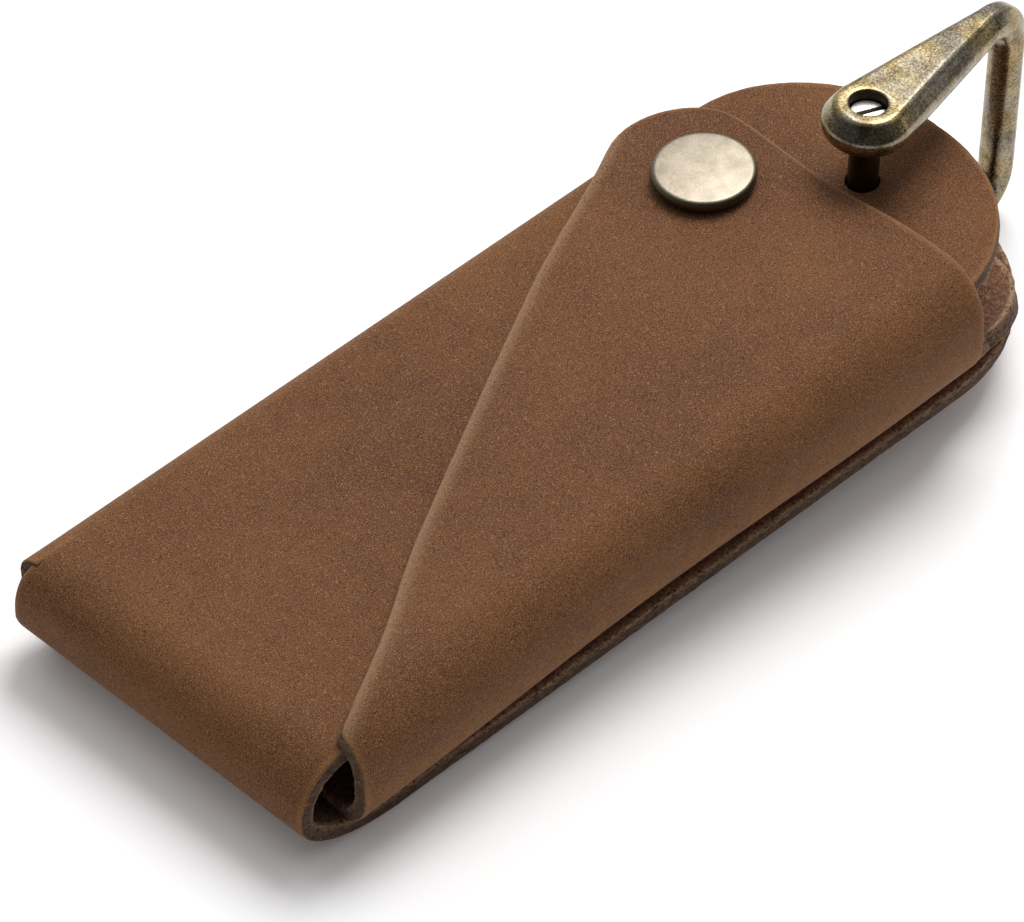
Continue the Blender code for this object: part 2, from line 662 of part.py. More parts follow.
leather = make_material("waxed_leather", (0.165, 0.074, 0.034), 0.75, 0.0)
brass = make_material("aged_brass", (0.30, 0.22, 0.10), 0.38, 1.0)
dark_brass = make_material("dark_brass", (0.10, 0.075, 0.05), 0.4, 1.0)
pale_brass = make_material("pale_brass", (0.45, 0.40, 0.31), 0.35, 1.0)
steel = make_material("nickel_plate", (0.55, 0.54, 0.50), 0.3, 1.0)

WEDGE = math.atan((TAB_HEIGHT - 2 * NOSE_RADIUS) / NOSE_TO_PIN)
case = make_empty("case_frame", (PIN_X - NOSE_TO_PIN * math.cos(LEAN), CENTRE_Y, NOSE_RADIUS),
                  (0.0, -LEAN, 0.0))
flap_hinge = make_empty("flap_hinge", (0.0, hinge_y(0.0), flap_height(0.0) - NOSE_RADIUS),
                        (0.0, -WEDGE, 0.0), case)
SNAP_X = NOSE_TO_PIN - SNAP_BACK
snap = make_empty("snap_axis", (SNAP_X, SNAP_SIDE, top_height(SNAP_X) - NOSE_RADIUS),
                  (0.0, -WEDGE, 0.0), case)

make_wrap()
make_flap()
make_snap()
make_shackle()
make_pin()
bpy.context.view_layer.update()
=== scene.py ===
# Looks for a folded leather key case that hangs from a brass shackle.
# Lengths are in millimetres up to the point where a mesh is made. The case's own axes are turned by
# its lean: x from the nose fold to the pin, y across it, z up from the strip's underside.

import json
import math

import bpy
import numpy as np
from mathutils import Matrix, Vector


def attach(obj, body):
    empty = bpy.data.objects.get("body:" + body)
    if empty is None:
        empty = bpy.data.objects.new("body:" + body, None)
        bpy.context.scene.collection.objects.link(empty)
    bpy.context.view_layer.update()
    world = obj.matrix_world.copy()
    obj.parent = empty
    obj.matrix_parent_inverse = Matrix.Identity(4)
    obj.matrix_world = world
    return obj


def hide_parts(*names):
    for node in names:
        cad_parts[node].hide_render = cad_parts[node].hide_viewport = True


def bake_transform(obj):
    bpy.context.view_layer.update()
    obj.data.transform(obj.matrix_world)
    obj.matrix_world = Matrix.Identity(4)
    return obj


mm = 0.001
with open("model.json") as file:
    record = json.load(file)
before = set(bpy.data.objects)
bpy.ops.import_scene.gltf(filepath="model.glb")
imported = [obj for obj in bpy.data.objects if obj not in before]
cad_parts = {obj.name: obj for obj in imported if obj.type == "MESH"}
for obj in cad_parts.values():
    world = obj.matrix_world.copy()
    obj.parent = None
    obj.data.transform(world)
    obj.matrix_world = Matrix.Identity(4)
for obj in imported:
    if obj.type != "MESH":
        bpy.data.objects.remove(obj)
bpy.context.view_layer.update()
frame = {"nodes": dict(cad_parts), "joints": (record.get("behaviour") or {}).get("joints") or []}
joints = {joint["name"]: joint for joint in frame["joints"]}
print("frame loaded:", ", ".join(sorted(frame["nodes"])))


# Meshes

def makeObject(name, points, faceLists, marks=None, kinds=None, sharpAngle=50):
    # points (n, 3) in millimetres, faceLists of (m, 3) or (m, 4) arrays, marks {attribute: value per point}
    mesh = bpy.data.meshes.new(name)
    mesh.vertices.add(len(points))
    mesh.vertices.foreach_set("co", (np.asarray(points) * mm).astype(np.float32).ravel())
    sizes = np.concatenate([np.full(len(faces), faces.shape[1]) for faces in faceLists])
    mesh.loops.add(int(sizes.sum()))
    corners = np.concatenate([faces.ravel() for faces in faceLists]).astype(np.int32)
    mesh.loops.foreach_set("vertex_index", corners)
    mesh.polygons.add(len(sizes))
    mesh.polygons.foreach_set("loop_start", np.concatenate([[0], np.cumsum(sizes)[:-1]]).astype(np.int32))
    if kinds is not None:
        mesh.polygons.foreach_set("material_index", np.asarray(kinds, dtype=np.int32))
    mesh.update(calc_edges=True)
    mesh.shade_smooth()
    mesh.set_sharp_from_angle(angle=math.radians(sharpAngle))
    for label, values in (marks or {}).items():
        mark = mesh.attributes.new(label, "FLOAT", "POINT")
        mark.data.foreach_set("value", np.asarray(values, dtype=np.float32))
    piece = bpy.data.objects.new(name, mesh)
    bpy.context.scene.collection.objects.link(piece)
    return piece


def gridQuads(rows, columns, closed=False):
    # quads between neighbours of a rows x columns grid; closed joins the last column to the first
    i, j = np.meshgrid(np.arange(rows - 1), np.arange(columns if closed else columns - 1), indexing="ij")
    k = (j + 1) % columns
    quads = np.stack([i * columns + j, i * columns + k, (i + 1) * columns + k, (i + 1) * columns + j], -1)
    return quads.reshape(-1, 4)


def facing(place, outward, at):
    # quads of a grid of points, turned so that the one at a row and column looks the given way
    quads = gridQuads(*place.shape[:2])
    a, b, c, d = place.reshape(-1, 3)[quads[at[0] * (place.shape[1] - 1) + at[1]]]
    return quads if np.dot(np.cross(c - a, d - b), outward) > 0 else quads[:, ::-1]


def weld(points, faces, marks, grain=0.0017):
    # merges points that lie in the same cell of a fine lattice
    keys = np.round(points / grain).astype(np.int64)
    _, first, back = np.unique(keys, axis=0, return_index=True, return_inverse=True)
    return points[first], back.ravel()[faces], {label: values[first] for label, values in marks.items()}


def pointNormals(points, faces):
    # mean of the normals of the faces round each point, weighted by their area
    flat = np.cross(points[faces[:, 2]] - points[faces[:, 0]], points[faces[:, 3]] - points[faces[:, 1]])
    total = np.zeros_like(points)
    for corner in range(4):
        np.add.at(total, faces[:, corner], flat)
    return total / np.maximum(np.linalg.norm(total, axis=1, keepdims=True), 1e-12)


def smooth(share):
    share = np.clip(share, 0.0, 1.0)
    return share * share * (3 - 2 * share)


def ripple(a, b, wave, seed, turns=6):
    # a slow random-looking wave over two coordinates: the mean of sines in seeded directions
    rng = np.random.default_rng(seed)
    total = np.zeros(np.broadcast(a, b).shape)
    for _ in range(turns):
        way, shift, size = rng.uniform(0, math.tau), rng.uniform(0, math.tau), rng.uniform(0.6, 1.6)
        total = total + np.sin((a * math.cos(way) + b * math.sin(way)) * math.tau / (wave * size) + shift)
    return total / turns


def thicken(points, faces, marks, wall, rounding, ragged, seed):
    # A closed hide from one open surface: its points, the same moved in by the wall along their normals,
    # and a rim between them whose corners are quarter circles. The rim stands out past the surface's edge
    # by the rounding. Along points marked as seam it is straight, to butt against the next piece.
    normals, count = pointNormals(points, faces), len(points)
    ahead = np.concatenate([np.stack([faces[:, i], faces[:, (i + 1) % 4]], 1) for i in range(4)])
    codes, mirrored = ahead[:, 0] * count + ahead[:, 1], ahead[:, 1] * count + ahead[:, 0]
    edge = ahead[~np.isin(codes, mirrored)]
    after, before = np.full(count, -1), np.full(count, -1)
    after[edge[:, 0]], before[edge[:, 1]] = edge[:, 1], edge[:, 0]
    ring = np.unique(edge)
    rank = np.full(count, -1)
    rank[ring] = np.arange(len(ring))
    seam = marks["seam"] > 0.5
    ends = seam[ring] & (seam[after[ring]] != seam[before[ring]])
    forward = np.where((ends & seam[after[ring]])[:, None], points[ring], points[after[ring]])
    backward = np.where((ends & seam[before[ring]])[:, None], points[ring], points[before[ring]])
    out = np.cross(forward - backward, normals[ring])
    out /= np.maximum(np.linalg.norm(out, axis=1, keepdims=True), 1e-12)
    reach = np.where(seam[ring] & ~ends, 0.0, 1.0)
    turns = np.radians([30, 60, 90])
    steps = [(math.sin(a), rounding * (1 - math.cos(a))) for a in turns]
    steps += [(1.0, wall * share) for share in (0.36, 0.5, 0.64)]
    steps += [(math.sin(a), wall - rounding * (1 - math.cos(a))) for a in turns[::-1]]
    rng = np.random.default_rng(seed)
    rim = []
    for side, down in steps:
        jitter = rng.normal(0.0, ragged * (1 + 3 * down / wall), len(ring))
        rim.append(points[ring] + out * ((side * rounding + jitter) * reach)[:, None] - normals[ring] * down)
    a, b = rank[edge[:, 0]], rank[edge[:, 1]]
    low = [2 * count + k * len(ring) for k in range(len(steps))]
    first = [edge[:, 0]] + [start + a for start in low] + [edge[:, 0] + count]
    second = [edge[:, 1]] + [start + b for start in low] + [edge[:, 1] + count]
    band = [np.stack([second[k], first[k], first[k + 1], second[k + 1]], 1) for k in range(len(steps) + 1)]
    allPoints = np.concatenate([points, points - normals * wall] + rim)
    allFaces = np.concatenate([faces, faces[:, ::-1] + count] + band)
    bandKinds = [0] * 2 + [2] * (len(steps) - 3) + [1] * 2
    kinds = np.repeat([0, 1] + bandKinds, [len(faces), len(faces)] + [len(edge)] * len(bandKinds))
    allMarks = {label: np.concatenate([values, values, np.tile(values[ring], len(steps))])
                for label, values in marks.items() if label != "seam"}
    rimMark = np.zeros(len(allPoints))
    rimMark[np.concatenate([ring, ring + count])] = np.tile(reach, 2)
    rimMark[2 * count:] = np.tile(reach, len(steps))
    allMarks["rim"] = rimMark
    allMarks["depth"] = np.repeat([0.0, 1.0] + [down / wall for _, down in steps],
                                  [count, count] + [len(ring)] * len(steps))
    return allPoints, allFaces, allMarks, kinds


def cutAway(piece, cutters):
    # takes closed cutters away from a piece and applies the result
    for cutter in cutters:
        step = piece.modifiers.new("cut", "BOOLEAN")
        step.operation, step.solver, step.object = "DIFFERENCE", "EXACT", cutter
    bpy.context.view_layer.update()
    graph = bpy.context.evaluated_depsgraph_get()
    mesh = bpy.data.meshes.new_from_object(piece.evaluated_get(graph), preserve_all_data_layers=True,
                                           depsgraph=graph)
    piece.modifiers.clear()
    old, piece.data = piece.data, mesh
    bpy.data.meshes.remove(old)
    mesh.name = piece.name
    for cutter in cutters:
        bpy.data.objects.remove(cutter, do_unlink=True)
    mesh.shade_smooth()
    mesh.set_sharp_from_angle(angle=math.radians(50))
    return piece


# The leather's form, in the case's own axes

caseShape = {
    "hide": 2.0,                    # thickness of the leather
    "layerGap": 0.3,
    "halfWidth": 22.8,              # bottom strip, nose and top panel
    "noseRadius": 7.3,
    "noseToPin": 102.6,
    "pinSide": 1.0,                 # pin axis off the centre line, towards the front
    "tabReach": 13.6,
    "tabPower": 2.15,               # 2 is a half circle, more is squarer
    "stripReach": 17.8,
    "tabHeight": 16.6,
    "backBulge": (2.5, 0.8),        # at the nose and at the pin, as are the pairs below
    "backShoulder": 3.5,
    "backHeel": 4.3,
    "backTongue": 5.3,              # the back fold runs this far past the nose axis
    "tongueDroop": 0.6,             # its end sags by this
    "tongueEnd": 3.25,              # and reaches down to here on the back heel
    "backEnd": 97.0,                # x where the back fold ends below the tab's edge
    "noseEnd": (1.22, 23.2),        # where on the back shoulder the nose is slit off, and its y below
    "noseBelly": 0.9,               # the nose bulges out this much more at its back end
    "nosePower": (0.7, -0.45),      # and is squarer there above, and flatter below
    "noseFoot": 7.0,                # and runs out to the strip over this length at its front end
    "frontBulge": (3.0, 2.8),
    "frontWaist": (0.9, 88.0),      # how far the front fold draws in, and over what length
    "frontShoulder": (7.0, 6.5),
    "frontHeel": (6.0, 8.5),
    "middleReach": 12.0,
    "middleHalf": 23.0,
    "middleCorner": 12.1,
    "middleNeck": 4.3,
    "pinHole": 2.12,
    "cutRounding": 0.35,            # the cut edges are rubbed round by this much
    "ragged": 0.015,                # and are this uneven
    "cell": 0.75,                   # spacing of the mesh
}
flapShape = {
    "lift": 1.0,                    # the snap holds the flap this far off the top panel
    "edgeLift": 0.3,                # the same at the long cut edge
    "tipRadius": 9.8,
    "tipBack": 13.9,                # from the pin towards the nose
    "tipSide": 13.8,                # from the centre line towards the back
    "slant": math.radians(28.0),    # long cut edge
    "slantBow": (1.3, 0.45, 41.0),  # it stands out near the tip and at its middle, over this width
    "bowRise": 0.25,                # share of that width over which the first starts
    "bowFade": (0.7, 0.3, 0.8),     # from this share, over this share, it loses this much again
    "wornEdge": 0.9,                # and is rubbed pale over this width
    "endSlant": math.radians(2.5),  # short cut edge, from square
    "endBow": (1.2, 2.0, 14.0),     # it stands out towards the fold, from this y over this length
    "endLift": 0.9,                 # and curls up at the fold
    "curlFrom": (50.0, 45.0, 9.0),  # the curl starts at this x, grows over this length, fades over this
    "neck": 2.2,                    # length along the hide in which it narrows from the middle panel
    "tipCorners": (28, 92),         # degrees on the tip's arc where the mesh has its corners
    "hingeBand": 2.5,               # half the width that bends when the flap opens
}
shackleShape = {"armThickness": 5.0, "armSpacing": 29.2, "eyeRadius": 5.4, "bowRadius": 2.15,
                "bowReach": 27.8, "flatReach": 12.0, "bendRadius": 5.1, "turn": math.radians(5.8),
                "outerFacets": [(1, 0), (0.96, 0.16), (0.5, 0.9), (0.3, 1), (0, 1)], "facetRounding": 0.14,
                "innerPower": 2.5, "halfPoints": 22, "rimRounding": 0.25}

cut, half, pin = caseShape["cutRounding"], caseShape["halfWidth"], caseShape["noseToPin"]
pinX, pinY = (value / mm for value in joints["shackle_swing"]["pos_m"][:2])
lean = math.asin((shackleShape["armThickness"] + caseShape["layerGap"]) / (pin - shackleShape["eyeRadius"]))
noseX = pinX - pin * math.cos(lean)
centreY = pinY + caseShape["pinSide"]
middleLow = caseShape["hide"] + caseShape["layerGap"]


def toWorld(points):
    # turns the case's axes by the lean about the nose fold's axis
    x, y, z = points[..., 0], points[..., 1], points[..., 2] - caseShape["noseRadius"]
    return np.stack([noseX + x * math.cos(lean) - z * math.sin(lean), y + centreY,
                     caseShape["noseRadius"] + x * math.sin(lean) + z * math.cos(lean)], -1)


def between(pair, x):
    return pair[0] + (pair[1] - pair[0]) * x / pin


def topHeight(x):
    return between((2 * caseShape["noseRadius"], caseShape["tabHeight"]), x)


def backOuter(x):
    return half + between(caseShape["backBulge"], x)


def frontOuter(x):
    depth, length = caseShape["frontWaist"]
    waist = depth * np.sin(math.pi * np.clip(x / length, 0, 1)) ** 2
    return half + between(caseShape["frontBulge"], x) - waist


def hingeY(x):
    return between(caseShape["frontShoulder"], x) - half - between(caseShape["frontBulge"], x)


def section(x, t):
    # Outside of the leather across the case at x. t runs 0 to 1 over the top panel, then one unit each
    # over the back shoulder, back side, back heel, middle panel, front heel, front side and front
    # shoulder, and past 8 one unit for every 10 mm of the flap.
    x, t = np.broadcast_arrays(np.asarray(x, float), np.asarray(t, float))
    top, low, back, front, hinge = topHeight(x), middleLow, backOuter(x), frontOuter(x), hingeY(x)
    high = top + flapShape["lift"] + caseShape["hide"]
    backTop, backLow = caseShape["backShoulder"], caseShape["backHeel"]
    frontTop, frontLow = front + hinge, between(caseShape["frontHeel"], x)
    edge, part = half - cut, t - np.floor(t)
    sin, cos = np.sin(part * math.pi / 2), np.cos(part * math.pi / 2)
    zone = [t < 1, t < 2, t < 3, t < 4, t < 5, t < 6, t < 7, t < 8]
    y = np.select(zone, [-edge + t * (back - backTop + edge), back - backTop + backTop * sin, back,
                         back - backLow + backLow * cos,
                         back - backLow - part * (back - backLow + front - frontLow),
                         -(front - frontLow) - frontLow * sin, -front, -(front - frontTop) - frontTop * cos],
                  hinge + 10 * (t - 8))
    z = np.select(zone, [top, top - backTop + backTop * cos,
                         top - backTop + part * (low + backLow - top + backTop),
                         low + backLow - backLow * sin, low + 0 * t, low + frontLow - frontLow * cos,
                         low + frontLow + part * (high - frontTop - low - frontLow),
                         high - frontTop + frontTop * sin], high)
    return np.stack([x, y, z], -1)


def coons(bottom, top, left, right, fade):
    # Grid between four edges of (x, t) points: straight rows from left to right, moved by what the
    # bottom and top edges depart from straight, which fades over the share of the rows given.
    u = np.linspace(0, 1, len(bottom))[:, None, None]
    v = np.linspace(0, 1, len(left))[None, :, None]
    rows = (1 - u) * left[None] + u * right[None]
    lowShift = bottom[:, None] - ((1 - u) * bottom[0] + u * bottom[-1])
    highShift = top[:, None] - ((1 - u) * top[0] + u * top[-1])
    return rows + (1 - smooth(v / fade[0])) * lowShift + smooth((v - 1 + fade[1]) / fade[1]) * highShift


def spread(points, count):
    # the same path with its points spread evenly along it
    steps = np.concatenate([[0], np.cumsum(np.linalg.norm(np.diff(points, axis=0), axis=1))])
    places = np.linspace(0, steps[-1], count)
    return np.stack([np.interp(places, steps, points[:, k]) for k in range(points.shape[1])], 1)


def cells(length, size=None):
    return max(2, int(round(length / (size or caseShape["cell"]))) + 1)


def tabEdge(angle):
    # a squared circle: the tab's end at an angle from the x axis
    power = 2 / caseShape["tabPower"]
    c, s = np.cos(angle), np.sin(angle)
    return np.stack([pin + caseShape["tabReach"] - half + (half - cut) * np.abs(c) ** power,
                     (half - cut) * np.sign(s) * np.abs(s) ** power], -1)


def middleEnd(distance, foldEnd):
    # end of the wing from the pin: flat, a round corner, then a smooth neck into the fold's own end
    corner, edge = caseShape["middleCorner"] - cut, caseShape["middleHalf"] - cut
    over = np.clip((distance - edge + corner) / corner, 0, 1)
    rounded = caseShape["middleReach"] - cut - corner + corner * np.sqrt(1 - over ** 2)
    return rounded + (foldEnd - rounded) * smooth((distance - edge) / caseShape["middleNeck"])


def slantX(y):
    # the flap's long cut edge, which runs on over the front fold's shoulder
    radius, slant = flapShape["tipRadius"] - cut, flapShape["slant"]
    endX = pin - flapShape["tipBack"] - radius * math.sin(slant)
    endY = flapShape["tipSide"] + radius * math.cos(slant)
    near, middle, width = flapShape["slantBow"]
    share = (endY - y) / width
    fadeFrom, fadeOver, fadeBy = flapShape["bowFade"]
    bow = near * smooth(share / flapShape["bowRise"]) + middle * np.sin(math.pi * np.clip(share, 0, 1))
    bow = bow * (1 - fadeBy * smooth((share - fadeFrom) / fadeOver))
    return endX - (endY - y) / math.tan(slant) - bow / math.sin(slant)


def flapEndX(y):
    # the flap's short cut edge
    radius, slant = flapShape["tipRadius"] - cut, flapShape["endSlant"]
    tipX = pin - flapShape["tipBack"] + radius * math.cos(slant)
    depth, start, length = flapShape["endBow"]
    bow = depth * smooth((start - y) / length)
    return tipX - (flapShape["tipSide"] - radius * math.sin(slant) - y) * math.tan(slant) + bow


def seamT():
    # the front heel is cut in two here, at the end of the middle panel's round corner
    flat = frontOuter(pin) - caseShape["frontHeel"][1]
    return 5 + (caseShape["middleHalf"] - cut - flat) / (math.pi / 2 * caseShape["frontHeel"][1])


def bendMark(t):
    # how much the hide is stretched: most at the middle of each fold's arc, little on the flats
    arcs = [(1.5, 0.55, 0.55), (3.5, 0.6, 0.4), (5.8, 0.75, 1.0), (7.4, 0.8, 0.3)]
    pulls = [strength * np.exp(-((t - middle) / width) ** 2) for middle, width, strength in arcs]
    return np.clip(sum(pulls), 0, 1)


def wrapSurface():
    # strip, nose, top panel, back fold, middle panel and half of the front heel as welded grids
    foldStart = backOuter(pin) - caseShape["backShoulder"]
    arcPoints = 90
    low = tabEdge(np.linspace(-math.pi / 2, -math.pi / 4, arcPoints))
    rows = cells(low[-1, 0])
    bottomXY = spread(np.concatenate([[[0.0, low[0, 1]]], low]), rows)
    tab = tabEdge(np.linspace(-math.pi / 4, math.pi / 2, 4 * arcPoints))
    columns = cells(foldStart + half)
    tab = spread(tab[tab[:, 1] < foldStart], columns)

    def topT(xy):
        return (xy[:, 1] + half - cut) / (backOuter(xy[:, 0]) - caseShape["backShoulder"] + half - cut)

    # rows of the wing below the top panel, by their distance along the leather from the centre line
    dense = np.linspace(1.0, 5.9, 4000)
    shape = section(pin, dense)[:, 1:]
    walk = np.concatenate([[0], np.cumsum(np.linalg.norm(np.diff(shape, axis=0), axis=1))])
    middle = np.interp(4.0, dense, walk) + section(pin, 4.0)[1]
    edge, corner = caseShape["middleHalf"] - cut, caseShape["middleCorner"] - cut
    neck = edge + caseShape["middleNeck"]
    quarter = edge - corner + corner * np.sin(np.linspace(math.pi / 2, 0, 18))
    along = np.concatenate([np.linspace(middle, neck, cells(middle - neck))[1:],
                            np.linspace(neck, edge, cells(neck - edge, 0.4))[1:-1], quarter[:-1],
                            np.linspace(quarter[-1], -quarter[-1], cells(2 * quarter[-1])),
                            -quarter[::-1][1:]])
    later = np.interp(middle - along, walk, dense)
    later[-1] = seamT()
    foldEnd = np.where(along > 0, caseShape["backEnd"], flapEndX(hingeY(pin))) - pin
    endX = pin + middleEnd(np.abs(along), foldEnd)
    power = caseShape["tabPower"]
    onArc = np.clip(section(pin, later)[:, 1] / (half - cut), 0, 1) ** power
    arcX = pin + caseShape["tabReach"] - half + (half - cut) * (1 - onArc) ** (1 / power)
    endX = np.where(later < 2, np.maximum(endX, arcX), endX)
    right = np.concatenate([np.stack([tab[:, 0], topT(tab)], 1), np.stack([endX, later], 1)])
    leftT = np.concatenate([np.linspace(0, 1, columns), later])
    left = np.stack([np.zeros(len(leftT)), leftT], 1)
    bottom = np.stack([bottomXY[:, 0], topT(bottomXY)], 1)
    top = np.stack([np.linspace(0, right[-1, 0], rows), np.full(rows, later[-1])], 1)
    grid = coons(bottom, top, left, right, (0.8 * columns / len(leftT), 0.1))
    wing = section(grid[..., 0], grid[..., 1])
    onTop = np.clip(1.6 - grid[..., 1], 0, 1) * smooth(grid[..., 0] / 15)
    fleshEnd = smooth((wing[..., 0] - pin - 2) / 6) * smooth((-wing[..., 1] - 4) / 12) * (grid[..., 1] > 4)
    wing[..., 2] += ripple(wing[..., 0], wing[..., 1], 40, 3) * 0.1 * onTop
    wing[..., 2] += fleshEnd * (0.5 + 0.35 * ripple(wing[..., 0], wing[..., 1], 5, 9))
    wingSeam = np.zeros(wing.shape[:2])
    wingSeam[:, -1] = 1

    # nose: a half turn from the wing's left end, over its columns up to the back shoulder
    endT, lowY = caseShape["noseEnd"]
    across = columns + int(np.sum(later < endT))
    start = wing[0, :across]
    turn = np.linspace(0, math.pi, cells(math.pi * caseShape["noseRadius"]))[:, None]
    height, reach = start[None, :, 2], start[-1, 1] + half - cut
    lastY = lowY + (start[-1, 1] - lowY) * (1 - smooth(turn / math.radians(60)))
    noseY = -half + cut + (start[None, :, 1] + half - cut) * (lastY + half - cut) / reach
    share = (start[:, 1] + half - cut) / reach
    foot = caseShape["noseFoot"] * (1 - share)
    axisX = np.where(turn > math.pi / 2, foot, 0)
    power = 2 / (2 + np.where(turn > math.pi / 2, *caseShape["nosePower"][::-1]) * share)
    bulge = (height / 2 + caseShape["noseBelly"] * share + axisX) * np.abs(np.sin(turn)) ** power
    rise = height / 2 * (1 + np.sign(np.cos(turn)) * np.abs(np.cos(turn)) ** power)
    bulge[-1], rise[-1] = 0, 0
    nose = np.stack([axisX - bulge, noseY, rise], -1)
    noseBend = 0.6 * np.sin(turn) ** 2 * np.ones_like(height)

    # strip: as wide as the nose at its start, then a little narrower
    edge = half - cut
    centre = pin + caseShape["stripReach"] - half
    side = np.linspace(-math.pi / 2, -math.pi / 4, arcPoints)
    side = np.stack([centre + edge * np.cos(side), edge * np.sin(side)], 1)
    stripRows = cells(side[-1, 0])
    stripLow = spread(np.concatenate([[[foot[0], -edge]], side]), stripRows)
    stripHigh = spread(np.concatenate([[[foot[-1], edge]], side * [1, -1]]), stripRows)
    end = np.linspace(-math.pi / 4, math.pi / 4, across)
    stripRight = np.stack([centre + edge * np.cos(end), edge * np.sin(end)], 1)
    wide = (nose[-1, -1, 1] + edge) / (2 * edge)
    stripLeft = np.stack([foot, -edge + (nose[-1, :, 1] + edge) / wide], 1)
    flat = coons(stripLow, stripHigh, stripLeft, stripRight, (0.45, 0.45))
    flare = 1 + (wide - 1) * (1 - smooth((flat[..., 0] - foot) / 18))
    strip = np.stack([flat[..., 0], -edge + (flat[..., 1] + edge) * flare, np.zeros(flat.shape[:2])], -1)

    # tongue: the back fold runs past the nose axis
    fold = np.arange(across - 1, np.sum(leftT < caseShape["tongueEnd"]))
    past = np.linspace(0, caseShape["backTongue"] - cut, cells(caseShape["backTongue"]))[:, None]
    tongue = np.repeat(wing[0, fold][None], len(past), 0)
    tongue[..., 0] -= past
    tongue[..., 1] += 0.25 * (past / caseShape["backTongue"]) ** 2
    droop = caseShape["tongueDroop"] * (past / caseShape["backTongue"]) ** 2
    tongue[..., 2] -= droop * np.clip(2 - leftT[fold], 0, 1)

    grids = [(wing, bendMark(grid[..., 1]), wingSeam, (0, 0, 1), (rows // 2, 2)),
             (nose, noseBend, None, (-1, 0, 0), (len(turn) // 2, 2)),
             (strip, np.zeros(strip.shape[:2]), None, (0, 0, -1), (stripRows // 2, 2)),
             (tongue, bendMark(leftT[fold])[None] * np.ones_like(past), None, (0, 1, 0), (1, len(fold) // 2))]
    points, faces, bend, seam, begin = [], [], [], [], 0
    for place, mark, seamMark, outward, at in grids:
        points.append(place.reshape(-1, 3))
        bend.append(mark.ravel())
        seam.append(np.zeros(mark.size) if seamMark is None else seamMark.ravel())
        faces.append(facing(place, outward, at) + begin)
        begin += len(points[-1])
    return weld(np.concatenate(points), np.concatenate(faces),
                {"bend": np.concatenate(bend), "seam": np.concatenate(seam)})


